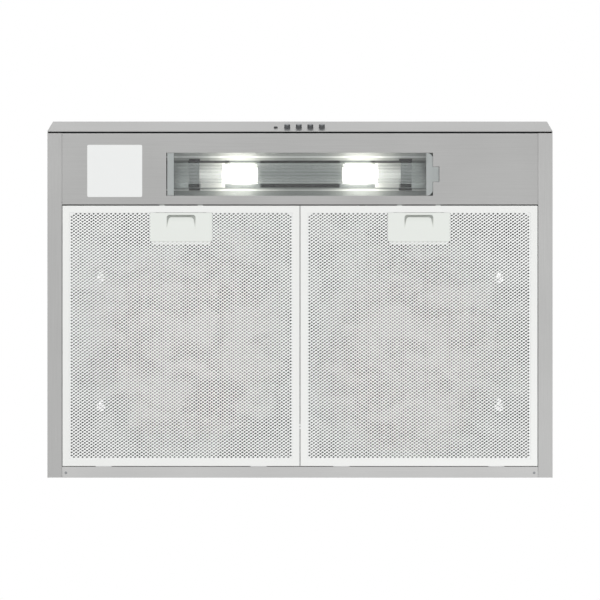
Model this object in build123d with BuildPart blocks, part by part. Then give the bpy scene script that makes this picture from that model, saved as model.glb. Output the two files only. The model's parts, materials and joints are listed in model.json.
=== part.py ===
from build123d import *
import math
import os

os.makedirs("parts", exist_ok=True)

# A slim under-cabinet range hood. x runs to the right as seen from the front, y towards the wall
# and z up. The origin is the middle of the four keyhole slots, in the top face that meets the
# cabinet, so the whole hood but its duct collar lies below z = 0. Millimetres.

# ---------------------------------------------------------------- shell
width = 750.0  # over the end panels
depth = 514.7  # underside, from the front edge to the wall
height = 130.0  # rim to cabinet
sheet = 1.0  # steel of the shell
fascia_height = 60.0
fascia_lean = 20.0  # the fascia's top edge stands this far ahead of its foot
top_depth = 330.0  # flat top, from the wall forwards
joint_flange = 14.0  # inner flanges that join the sheets
side_flange = 21.4  # bottom flange of an end panel, with the panel itself
rear_flange = 16.3  # bottom flange of the back panel, with the panel itself
flange_gap = 0.4  # between flanges that lie in one plane

# ---------------------------------------------------------------- keyhole slots
screw_to_side = 65.0
screw_to_wall = 97.0  # the rear pair
screw_to_eave = 33.0  # the front pair, behind the flat top's front edge
keyhole_r = 6.5
keyhole_neck = 6.0
keyhole_reach = 14.0  # from the round's middle to the neck's end

# ---------------------------------------------------------------- front pan
seam = 2.2  # groove between the fascia's foot and the pan
pan_depth = 109.4  # from the front edge to the pan's rear face
pan_wall = 11.0  # height of its turned-up walls
pan_bend = 1.2
pan_ear = 12.0  # how far its ends lap over the side flanges
sticker_size = (81.6, 77.4)
sticker_shift = 2.9  # behind the middle of the pan
sticker_thickness = 0.2

# ---------------------------------------------------------------- lamp
lens_length = 394.0
lens_width = 63.0
lens_to_rear = 13.7  # from the lens to the pan's rear face
lens_plate = 1.5
lens_wall = 1.2
lens_rise = 8.0  # height of its side walls
lens_corner = 8.0
lens_gap = 0.4  # round the lens in the pan
lens_heel_gap = 1.6  # at the hinged end, where its corner swings up
lens_pivot = 7.0  # hinge pins, from the hinged end
lens_pivot_rise = 6.0  # hinge pins, above the rim
lens_pin_r = 1.5
pin_clearance = 0.05
catch_size = (9.0, 22.0)
catch_thickness = 1.5
trough_wall = 0.8
trough_gap = 1.3  # between the lens and the trough's side walls
trough_rise = 38.0
trough_straight = 11.0  # height of its upright side walls
trough_ceiling = 37.0
trough_flange = 5.0
holder_r = 11.0
holder_length = 34.0
bulb_r = 13.0
bulb_length = 53.0
bulb_end = 63.0  # tip of the glass, from the middle of the hood
lamp_axis_rise = 20.0

# ---------------------------------------------------------------- controls
button_pitch = 17.3
button_count = 4
button_middle = 6.8  # middle of the row, to the right of the hood's
button_rise = 21.0  # row of buttons, above the rim
button_r = 4.5
button_proud = 5.6
button_travel = 3.0
button_gap = 0.3
stem_r = 2.5
indicator_r = 3.0
indicator_proud = 2.0
switch_size = (94.0, 18.0, 26.0)  # along the fascia, up it, and in from it
switch_flange = 2.0
switch_nut_pitch = 86.0

# ---------------------------------------------------------------- filters
filter_side_gap = 0.9  # to the end panel's flange
filter_middle_gap = 1.0  # between the two
filter_front_gap = 1.5  # to the pan, where the tongues cross
filter_rear_gap = 1.0  # to the rear strip
filter_thickness = 10.0
filter_wall = 1.0
filter_lip = 10.0
filter_top_lip = 8.0
face_thickness = 0.6
layer_thickness = 0.2
layer_pitch = 1.6
layer_count = 3
layer_gap = 0.3
hook_width = 24.0
hook_thickness = 2.0
hook_reach = 8.0
hook_spacing = 230.0
hook_gap = 0.3

# ---------------------------------------------------------------- latches
handle_size = (92.0, 42.5)
handle_gap = 0.4  # to the frame's front lip
handle_plate = 0.8
handle_core = (68.0, 29.0, 5.2)
pull_size = (43.0, 21.0, 4.2)
pull_inset = 3.0  # from the handle's front edge
pull_corner = 4.0
tongue_width = 7.5
tongue_thickness = 2.0
tongue_spacing = 57.0
tongue_rise = 1.4
tongue_reach = 3.6  # past the pan's rear face
tongue_gap = 0.3
latch_travel = 6.0
housing_wall = 1.2
housing_gap = 0.3
housing_flange = 8.5
spring_r = 1.4
spring_wire = 0.35
spring_turns = 4
spring_offset = 14.0

# ---------------------------------------------------------------- blower
duct_to_wall = 66.0  # middle of the duct
blower_clearance = 6.3  # above the filters
roof_gap = 14.8  # between the spiral and the top
wheel_gap = 4.0  # between a wheel and the plates of its housing
blade_count = 30
blade_length = 5.2
blade_thickness = 0.8
hub_r = 10.0
shaft_r = 4.0
scroll_sheet = 1.0
scroll_to_motor = 5.0
scroll_to_collar = 4.0
scroll_start_gap = 5.0  # from the wheel to the spiral's start
scroll_growth = 14.0  # of its radius, from start to end
scroll_cutoff = 65.0  # degrees
cutoff_step = 2.9  # cutoff behind the front of the outlet
outlet_margin = 3.0  # between the outlet and the collar's walls
inlet_lap = 5.0  # wheel outside the inlet
motor_step = 3.0  # motor's radius less than the wheel's
motor_length = 66.0
motor_cap_r = 24.0
motor_cap = 5.0
strap_thickness = 1.5
strap_width = 20.0
strap_gap = 0.3

# ---------------------------------------------------------------- duct collar
collar_x = 252.0
collar_y = 81.0
collar_wall = 0.8
collar_rise = 45.0
collar_flange = 12.0
collar_gap = 0.5
damper_rise = 12.0
damper_rod_r = 1.5
knuckle_r = 2.6
knuckle_length = 20.0
knuckle_pitch = 40.0
flap_thickness = 0.8
flap_gap = 2.0  # round the flaps
flap_root = 3.4  # plate starts this far from the rod's middle
ledge_width = 5.0
ledge_gap = 0.3

# ---------------------------------------------------------------- wiring
box_to_collar = 32.0  # from the collar's flange
box_length = 90.0
box_y = (112.0, 190.0)
box_depth = 50.0
inlet_hole_r = 11.0
inlet_bore_r = 7.0
inlet_length = 7.0
capacitor_r = 15.0
capacitor_length = 55.0
capacitor_to_collar = 42.0  # its axis, from the collar's flange
capacitor_y = 120.0
harness_r = 3.0

# ---------------------------------------------------------------- places that follow
screw_spacing_x = width - 2 * screw_to_side
screw_spacing_y = top_depth - screw_to_wall - screw_to_eave
y_wall = screw_to_wall + screw_spacing_y / 2
y_front = y_wall - depth
y_brow = y_front - fascia_lean
y_top = y_wall - top_depth
z_rim = -height
z_brow = z_rim + fascia_height
inner_x = width / 2 - sheet
flange_x = width / 2 - side_flange
pan_x = flange_x - flange_gap
flange_run_x = inner_x - joint_flange - flange_gap
y_duct = y_wall - duct_to_wall
flange_end = collar_x / 2 + collar_flange
box_x = (flange_end + box_to_collar, flange_end + box_to_collar + box_length)
outline = [(y_front, z_rim), (y_brow, z_brow), (y_top, 0.0), (y_wall, 0.0), (y_wall, z_rim)]


def behind(distance):
    # y of a place given behind the hood's front edge
    return y_front + distance


def block(x, y, z, mode=Mode.ADD):
    # a box between three pairs of low and high values
    with Locations(((x[0] + x[1]) / 2, (y[0] + y[1]) / 2, (z[0] + z[1]) / 2)):
        Box(x[1] - x[0], y[1] - y[0], z[1] - z[0], mode=mode)


def run_along_x(points, x, mode=Mode.ADD):
    # a profile in y and z, run from one x to another
    with BuildSketch(Plane.YZ.offset(x[0])) as profile:
        with BuildLine():
            Polyline(*points, close=True)
        make_face()
    extrude(profile.sketch, amount=x[1] - x[0], mode=mode)


def rod_along_x(centre, r, x, mode=Mode.ADD):
    with BuildSketch(Plane.YZ.offset(x[0])) as disc:
        with Locations(centre):
            Circle(r)
    extrude(disc.sketch, amount=x[1] - x[0], mode=mode)


def inset(points, distance):
    # corners of a clockwise outline, moved inwards
    moved = []
    for i, here in enumerate(points):
        before = points[i - 1]
        after = points[(i + 1) % len(points)]
        normals = []
        for start, end in ((before, here), (here, after)):
            run = math.dist(start, end)
            normals.append(((end[1] - start[1]) / run, -(end[0] - start[0]) / run))
        (ay, az), (by, bz) = normals
        scale = distance / (1 + ay * by + az * bz)
        moved.append((here[0] + scale * (ay + by), here[1] + scale * (az + bz)))
    return moved


def along(start, end, distance):
    # the point this far from start, on the way to end
    share = distance / math.dist(start, end)
    return (start[0] + share * (end[0] - start[0]), start[1] + share * (end[1] - start[1]))


def slide_off(point, start, end, distance):
    # the point moved square to a run, to its right
    run = math.dist(start, end)
    return (
        point[0] + distance * (end[1] - start[1]) / run,
        point[1] - distance * (end[0] - start[0]) / run,
    )


foot, brow, eave, top_rear, _ = outline
_, brow_in, eave_in, _, _ = inset(outline, sheet)
_, brow_deep, eave_deep, _, _ = inset(outline, 2 * sheet)
lean_angle = math.atan2(fascia_lean, fascia_height)
fascia_inner_foot = (y_front + sheet / math.cos(lean_angle), z_rim)

# ================================================================ shell
fascia_plane = Plane(
    origin=(0, y_front - button_rise * math.tan(lean_angle), z_rim + button_rise),
    x_dir=(1, 0, 0),
    z_dir=(0, -math.cos(lean_angle), -math.sin(lean_angle)),
)
button_x = [button_middle + button_pitch * (i - (button_count - 1) / 2) for i in range(button_count)]
indicator_x = button_x[0] - button_pitch
y_pan = y_front + sheet / math.cos(lean_angle) + seam
z_shelf = z_rim + pan_wall
y_pan_rear = behind(pan_depth)
y_lens = y_pan_rear - lens_to_rear - lens_width / 2
trough_half = lens_width / 2 + trough_gap
y_trough_front = y_lens - trough_half - trough_wall
shelf_start = along(fascia_inner_foot, brow_in, pan_wall / math.cos(lean_angle))

with BuildPart() as front_fascia:
    run_along_x([foot, brow, brow_in, fascia_inner_foot], (-inner_x, inner_x))
    lap = along(brow_in, eave_in, joint_flange)
    lap_deep = slide_off(lap, brow_in, eave_in, sheet)
    bend = along(brow_in, fascia_inner_foot, 2 * sheet)
    run_along_x([brow_in, lap, lap_deep, brow_deep, bend], (-flange_run_x, flange_run_x))
    block(
        (-flange_run_x, flange_run_x),
        (shelf_start[0] - sheet / 2, (y_pan + y_trough_front) / 2),
        (z_shelf, z_shelf + sheet),
    )
    with BuildSketch(fascia_plane.offset(1)):
        with Locations(*[(x, 0) for x in button_x]):
            Circle(button_r + button_gap)
        with Locations((indicator_x, 0)):
            Circle(indicator_r + button_gap / 2)
    extrude(amount=-3 - sheet, mode=Mode.SUBTRACT)
front_fascia.part.label = "front_fascia"
export_step(front_fascia.part, "parts/front_fascia.step")

with BuildPart() as slope_panel:
    run_along_x([brow, eave, eave_in, brow_in], (-inner_x, inner_x))
    lap = (eave_in[0] + joint_flange, -sheet)
    bend = along(eave_in, brow_in, 2 * sheet)
    run_along_x(
        [eave_in, lap, (lap[0], lap[1] - sheet), eave_deep, bend],
        (-flange_run_x, flange_run_x),
    )
slope_panel.part.label = "slope_panel"
export_step(slope_panel.part, "parts/slope_panel.step")

collar_hole_x = collar_x / 2 + collar_gap
collar_hole_y = collar_y / 2 + collar_gap
inlet_centre = ((box_x[0] + box_x[1]) / 2, (box_y[0] + box_y[1]) / 2)
keyholes = [
    (sx * screw_spacing_x / 2, sy * screw_spacing_y / 2) for sx in (-1, 1) for sy in (-1, 1)
]

with BuildPart() as top_panel:
    run_along_x(
        [eave, top_rear, (y_wall, -sheet), eave_in],
        (-inner_x, inner_x),
    )
    with BuildSketch():
        with Locations(*keyholes):
            Circle(keyhole_r)
        neck_length = keyhole_reach - keyhole_neck / 2
        with Locations(*[(x, y - neck_length / 2) for x, y in keyholes]):
            Rectangle(keyhole_neck, neck_length)
        with Locations(*[(x, y - neck_length) for x, y in keyholes]):
            Circle(keyhole_neck / 2)
        with Locations((0, y_duct)):
            Rectangle(2 * collar_hole_x, 2 * collar_hole_y)
        with Locations(inlet_centre):
            Circle(inlet_hole_r)
    extrude(amount=-2 * sheet, mode=Mode.SUBTRACT)
top_panel.part.label = "top_panel"
export_step(top_panel.part, "parts/top_panel.step")

rivet_r = 2.0
rivet_x = pan_x - 5.6
rivet_y = y_wall - rear_flange / 2 + sheet
knockout_line = 1.0
knockout_drop = 14.0

with BuildPart() as back_panel:
    block((-inner_x, inner_x), (y_wall - sheet, y_wall), (z_rim, -sheet))
    block((-pan_x, pan_x), (y_wall - rear_flange, y_wall - sheet), (z_rim, z_rim + sheet))
    # score line of the knockout for a duct through the wall
    knockout_centre = (0, y_wall, -knockout_drop - collar_y / 2)
    with BuildSketch(Plane(origin=knockout_centre, x_dir=(1, 0, 0), z_dir=(0, 1, 0))):
        RectangleRounded(collar_x, collar_y, 6)
        RectangleRounded(
            collar_x - 2 * knockout_line, collar_y - 2 * knockout_line, 5, mode=Mode.SUBTRACT
        )
    extrude(amount=-sheet / 2, mode=Mode.SUBTRACT)
    with Locations((-rivet_x, rivet_y, z_rim), (rivet_x, rivet_y, z_rim)):
        Cylinder(rivet_r, 4 * sheet, mode=Mode.SUBTRACT)
back_panel.part.label = "back_panel"
export_step(back_panel.part, "parts/back_panel.step")

ground_screw_y = behind(379.0)
ground_screw_z = -60.0
ground_screw_r = 2.0

for side, name in ((-1, "end_panel_left"), (1, "end_panel_right")):
    with BuildPart() as end_panel:
        run_along_x(outline, (inner_x, inner_x + sheet))
        run_along_x(inset(outline, sheet), (inner_x - joint_flange, inner_x))
        run_along_x(inset(outline, 2 * sheet), (inner_x - joint_flange, inner_x), Mode.SUBTRACT)
        block(
            (inner_x - joint_flange - 1, inner_x),
            (y_brow, y_wall - sheet),
            (z_rim, z_shelf + 2 * sheet),
            Mode.SUBTRACT,
        )
        block((flange_x, inner_x), (y_pan, y_wall - sheet), (z_rim, z_rim + sheet))
        # ear that laps over the end of the rear strip
        block(
            (rivet_x - 5, flange_x + 3),
            (y_wall - rear_flange + 1, y_wall - sheet),
            (z_rim + sheet, z_rim + 2 * sheet),
        )
        with Locations((rivet_x, rivet_y, z_rim + sheet)):
            Cylinder(rivet_r, 3 * sheet, mode=Mode.SUBTRACT)
        if side < 0:
            rod_along_x(
                (ground_screw_y, ground_screw_z),
                ground_screw_r + 0.1,
                (inner_x - 1, inner_x + 2 * sheet),
                Mode.SUBTRACT,
            )
            mirror(about=Plane.YZ, mode=Mode.REPLACE)
    end_panel.part.label = name
    export_step(end_panel.part, f"parts/{name}.step")

with BuildPart() as rear_strip_rivets:
    for side in (-1, 1):
        with Locations((side * rivet_x, rivet_y, z_rim + sheet)):
            Cylinder(rivet_r, 2 * sheet)
        with BuildSketch(Plane.XY.offset(z_rim + 2 * sheet)):
            with Locations((side * rivet_x, rivet_y)):
                Circle(rivet_r * 1.6)
        extrude(amount=1.0)
rear_strip_rivets.part.label = "rear_strip_rivets"
export_step(rear_strip_rivets.part, "parts/rear_strip_rivets.step")

with BuildPart() as ground_screw:
    rod_along_x((ground_screw_y, ground_screw_z), ground_screw_r, (-width / 2, 14 - width / 2))
    rod_along_x((ground_screw_y, ground_screw_z), 4.0, (-width / 2 - 2.2, -width / 2))
    rod_along_x((ground_screw_y, ground_screw_z), 4.2, (-inner_x, 3.2 - inner_x))
    chamfer(ground_screw.edges().group_by(Axis.X)[0], 0.6)
ground_screw.part.label = "ground_screw"
export_step(ground_screw.part, "parts/ground_screw.step")

# ================================================================ front pan
lens_x = lens_length / 2
filter_length = flange_x - filter_side_gap - filter_middle_gap / 2
filter_centre = (filter_middle_gap + filter_length) / 2
handle_x = [side * filter_centre for side in (-1, 1)]
tongue_x = [x + s * tongue_spacing / 2 for x in handle_x for s in (-1, 1)]

with BuildPart() as front_pan:
    block((-pan_x, pan_x), (y_pan, y_pan_rear), (z_rim, z_shelf))
    block(
        (-pan_x - 1, pan_x + 1),
        (y_pan + sheet, y_pan_rear - sheet),
        (z_rim + sheet, z_shelf + 1),
        Mode.SUBTRACT,
    )
    long_edges = front_pan.edges().filter_by(Axis.X).group_by(Axis.Z)[0]
    fillet(long_edges, pan_bend)
    for side in (-1, 1):
        ends = sorted((side * (pan_x - pan_ear), side * (flange_x + pan_ear)))
        block(ends, (y_pan + 6, y_pan_rear - 6), (z_rim + sheet, z_rim + 2 * sheet))
    # opening for the lens, with the notch for its catch
    with BuildSketch(Plane.XY.offset(z_rim)):
        left = -lens_x - lens_heel_gap
        right = lens_x + lens_gap
        with Locations(((left + right) / 2, y_lens)):
            Rectangle(right - left, lens_width + 2 * lens_gap)
        with Locations((right + (catch_size[0] + lens_gap) / 2 - 0.1, y_lens)):
            Rectangle(catch_size[0] + lens_gap + 0.2, catch_size[1] + 2 * lens_gap)
    extrude(amount=3 * sheet, both=True, mode=Mode.SUBTRACT)
    for x in tongue_x:
        block(
            (x - tongue_width / 2 - tongue_gap, x + tongue_width / 2 + tongue_gap),
            (y_pan_rear - 2 * sheet, y_pan_rear + sheet),
            (z_rim + tongue_rise - tongue_gap, z_rim + tongue_rise + tongue_thickness + tongue_gap),
            Mode.SUBTRACT,
        )
front_pan.part.label = "front_pan"
export_step(front_pan.part, "parts/front_pan.step")

with BuildPart() as blank_sticker:
    with BuildSketch(Plane.XY.offset(z_rim - sticker_thickness)):
        with Locations((-(pan_x + lens_x) / 2, (y_pan + y_pan_rear) / 2 + sticker_shift)):
            RectangleRounded(*sticker_size, 2)
    extrude(amount=sticker_thickness)
blank_sticker.part.label = "blank_sticker"
export_step(blank_sticker.part, "parts/blank_sticker.step")

# ================================================================ lamp
z_pan_top = z_rim + sheet
trough_left = -lens_x - lens_heel_gap - 2
trough_right = lens_x + catch_size[0] + lens_gap + 2
lens_pivot_at = (lens_pivot - lens_x, z_rim + lens_pivot_rise)


def trough_profile(grow):
    half = trough_half + grow
    ceiling = trough_ceiling / 2 + grow
    return [
        (y_lens - half, z_pan_top),
        (y_lens - half, z_rim + trough_straight),
        (y_lens - ceiling, z_rim + trough_rise + grow),
        (y_lens + ceiling, z_rim + trough_rise + grow),
        (y_lens + half, z_rim + trough_straight),
        (y_lens + half, z_pan_top),
    ]


with BuildPart() as lamp_trough:
    run_along_x(trough_profile(trough_wall), (trough_left - trough_wall, trough_right + trough_wall))
    rim = trough_flange + trough_wall
    block(
        (trough_left - rim, trough_right + rim),
        (y_lens - trough_half - rim, y_lens + trough_half + rim),
        (z_pan_top, z_pan_top + trough_wall),
    )
    run_along_x(trough_profile(0), (trough_left, trough_right), Mode.SUBTRACT)
    with BuildSketch(Plane.XZ.offset(-y_lens)):
        with Locations(lens_pivot_at):
            Circle(lens_pin_r + pin_clearance)
    extrude(amount=trough_half + 3, both=True, mode=Mode.SUBTRACT)
lamp_trough.part.label = "lamp_trough"
export_step(lamp_trough.part, "parts/lamp_trough.step")

z_lamp = z_rim + lamp_axis_rise
z_ceiling = z_rim + trough_rise
bulb_start = bulb_end + bulb_length
socket_r = 7.3
socket_depth = 5.0

for side, word in ((-1, "left"), (1, "right")):
    with BuildPart() as lamp_holder:
        ends = (bulb_start, bulb_start + holder_length)
        rod_along_x((y_lens, z_lamp), holder_r, ends)
        rod_along_x((y_lens, z_lamp), holder_r + 1.5, (ends[0], ends[0] + 6))
        block((ends[0] + 12, ends[0] + 24), (y_lens - 7, y_lens + 7), (z_lamp, z_ceiling))
        rod_along_x((y_lens, z_lamp), socket_r, (ends[0] - 1, ends[0] + socket_depth), Mode.SUBTRACT)
        if side < 0:
            mirror(about=Plane.YZ, mode=Mode.REPLACE)
    lamp_holder.part.label = f"lamp_holder_{word}"
    export_step(lamp_holder.part, f"parts/lamp_holder_{word}.step")

    with BuildPart() as bulb:
        with BuildSketch(Plane.XZ.offset(-y_lens)):
            with BuildLine():
                Polyline(
                    (bulb_end + bulb_r, z_lamp + bulb_r),
                    (bulb_start - 14, z_lamp + bulb_r),
                    (bulb_start - 3, z_lamp + socket_r - 0.3),
                    (bulb_start + socket_depth - 0.5, z_lamp + socket_r - 0.3),
                    (bulb_start + socket_depth - 0.5, z_lamp),
                    (bulb_end, z_lamp),
                )
                RadiusArc((bulb_end, z_lamp), (bulb_end + bulb_r, z_lamp + bulb_r), bulb_r)
            make_face()
        revolve(axis=Axis((0, y_lens, z_lamp), (1, 0, 0)))
        if side < 0:
            mirror(about=Plane.YZ, mode=Mode.REPLACE)
    bulb.part.label = f"bulb_{word}"
    export_step(bulb.part, f"parts/bulb_{word}.step")

pin_reach = trough_half + trough_wall + 0.6

with BuildPart() as lamp_lens:
    with BuildSketch(Plane.XY.offset(z_rim)):
        with Locations((0, y_lens)):
            Rectangle(lens_length, lens_width)
    extrude(amount=lens_rise)
    right_corners = lamp_lens.edges().filter_by(Axis.Z).group_by(Axis.X)[-1]
    fillet(right_corners, lens_corner)
    with BuildSketch(Plane.XY.offset(z_rim + lens_plate)) as lens_hollow:
        with Locations((0, y_lens)):
            Rectangle(lens_length - 2 * lens_wall, lens_width - 2 * lens_wall)
        fillet(lens_hollow.vertices().group_by(Axis.X)[-1], lens_corner - lens_wall)
    extrude(amount=lens_rise, mode=Mode.SUBTRACT)
    # the hinged end is cut down where it would foul the pan as it swings
    block(
        (-lens_x - 1, lens_pivot_at[0] - 2 * lens_pin_r),
        (y_lens - lens_width, y_lens + lens_width),
        (z_rim + lens_plate, z_rim + lens_rise + 1),
        Mode.SUBTRACT,
    )
    with BuildSketch(Plane.XZ.offset(-(y_lens + lens_width / 2 - lens_wall))):
        with Locations(lens_pivot_at):
            Circle(lens_pin_r)
    extrude(amount=-(pin_reach - lens_width / 2 + lens_wall))
    with BuildSketch(Plane.XZ.offset(-(y_lens - lens_width / 2 + lens_wall))):
        with Locations(lens_pivot_at):
            Circle(lens_pin_r)
    extrude(amount=pin_reach - lens_width / 2 + lens_wall)
    # catch tab, with a dish for the finger
    block(
        (lens_x - 1, lens_x + catch_size[0]),
        (y_lens - catch_size[1] / 2, y_lens + catch_size[1] / 2),
        (z_rim, z_rim + catch_thickness),
    )
    with BuildSketch(Plane.XY.offset(z_rim)):
        with Locations((lens_x + catch_size[0] / 2, y_lens)):
            Ellipse(catch_size[0] * 0.38, catch_size[1] * 0.36)
    extrude(amount=catch_thickness / 3, mode=Mode.SUBTRACT)
lamp_lens.part.label = "lamp_lens"
export_step(lamp_lens.part, "parts/lamp_lens.step")

clip_leaf = 0.5
clip_gap = 0.3

with BuildPart() as lens_clip:
    clip_y = (y_lens - 9, y_lens + 9)
    z_clip = (z_rim + lens_plate + 1.5, z_rim + lens_rise + 2)
    inner_face = lens_x - lens_wall - clip_gap
    outer_face = lens_x + clip_gap
    block((inner_face - clip_leaf, inner_face), clip_y, z_clip)
    block((outer_face, outer_face + clip_leaf), clip_y, z_clip)
    block(
        (inner_face - clip_leaf, trough_right),
        clip_y,
        (z_clip[1], z_clip[1] + clip_leaf),
    )
    block((trough_right - clip_leaf, trough_right), clip_y, (z_clip[1] - 4, z_clip[1] + 6))
lens_clip.part.label = "lens_clip"
export_step(lens_clip.part, "parts/lens_clip.step")

# ================================================================ controls
switch_back = -sheet - switch_size[2]
bore_floor = -sheet - switch_flange - 10.0
cap_back = -7.0
stem_end = bore_floor - 6.0
nut_x = (-switch_nut_pitch / 2, switch_nut_pitch / 2)

with BuildPart() as switch_body:
    with BuildSketch(fascia_plane.offset(-sheet)):
        Rectangle(switch_size[0], switch_size[1])
    extrude(amount=-switch_flange)
    with BuildSketch(fascia_plane.offset(-sheet - switch_flange)):
        Rectangle(switch_size[0] - 14, switch_size[1] - 4)
    extrude(amount=-(switch_size[2] - switch_flange))
    with BuildSketch(fascia_plane.offset(-sheet)):
        with Locations(*[(x, 0) for x in button_x]):
            Circle(button_r + button_gap)
        with Locations((indicator_x, 0)):
            Circle(indicator_r + button_gap / 2)
    extrude(amount=bore_floor + sheet, mode=Mode.SUBTRACT)
    with BuildSketch(fascia_plane.offset(bore_floor)):
        with Locations(*[(x, 0) for x in button_x]):
            Circle(stem_r + pin_clearance)
    extrude(amount=stem_end - button_travel - 1 - bore_floor, mode=Mode.SUBTRACT)
    with BuildSketch(fascia_plane.offset(-sheet)):
        with Locations(*[(x, 0) for x in nut_x]):
            Circle(1.6)
    extrude(amount=-2 * switch_flange, mode=Mode.SUBTRACT)
switch_body.part.label = "switch_body"
export_step(switch_body.part, "parts/switch_body.step")

with BuildPart() as switch_nuts:
    for x in nut_x:
        with BuildSketch(fascia_plane.offset(-sheet)):
            with Locations((x, 0)):
                Circle(1.5)
        extrude(amount=-switch_flange - 3.5)
        with BuildSketch(fascia_plane.offset(-sheet - switch_flange)):
            with Locations((x, 0)):
                RegularPolygon(3.0, 6)
        extrude(amount=-2.4)
switch_nuts.part.label = "switch_nuts"
export_step(switch_nuts.part, "parts/switch_nuts.step")

for number, x in enumerate(button_x, start=1):
    with BuildPart() as push_button:
        with BuildSketch(fascia_plane.offset(cap_back)):
            with Locations((x, 0)):
                Circle(button_r)
        extrude(amount=button_proud - cap_back)
        rim_edge = push_button.edges().sort_by(Axis(fascia_plane.origin, fascia_plane.z_dir))[-1]
        fillet(rim_edge, 0.9)
        with BuildSketch(fascia_plane.offset(cap_back)):
            with Locations((x, 0)):
                Circle(stem_r)
        extrude(amount=stem_end - cap_back)
    push_button.part.label = f"push_button_{number}"
    export_step(push_button.part, f"parts/push_button_{number}.step")

with BuildPart() as indicator_lamp:
    with BuildSketch(fascia_plane.offset(bore_floor + 1)):
        with Locations((indicator_x, 0)):
            Circle(indicator_r)
    extrude(amount=indicator_proud - bore_floor - 1)
    rim_edge = indicator_lamp.edges().sort_by(Axis(fascia_plane.origin, fascia_plane.z_dir))[-1]
    fillet(rim_edge, 1.4)
indicator_lamp.part.label = "indicator_lamp"
export_step(indicator_lamp.part, "parts/indicator_lamp.step")

# ================================================================ filters and latches
y_filter = (y_pan_rear + filter_front_gap, y_wall - rear_flange - filter_rear_gap)
z_lip = z_rim + filter_wall
z_face = (z_lip, z_lip + face_thickness)
handle_front = y_filter[0] + filter_lip + handle_gap
y_handle = (handle_front, handle_front + handle_size[1])
y_core = (handle_front + 1, handle_front + 1 + handle_core[1])
housing_half = handle_core[0] / 2 + housing_gap
y_housing = (y_filter[0] + filter_lip + 0.5, y_core[1] + latch_travel + 2.5)
z_housing = z_rim + handle_core[2] + housing_gap
z_tongue = (z_rim + tongue_rise, z_rim + tongue_rise + tongue_thickness)


def on_filter(x_middle, half, y, z, mode=Mode.ADD):
    block((x_middle - half, x_middle + half), y, z, mode)


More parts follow.
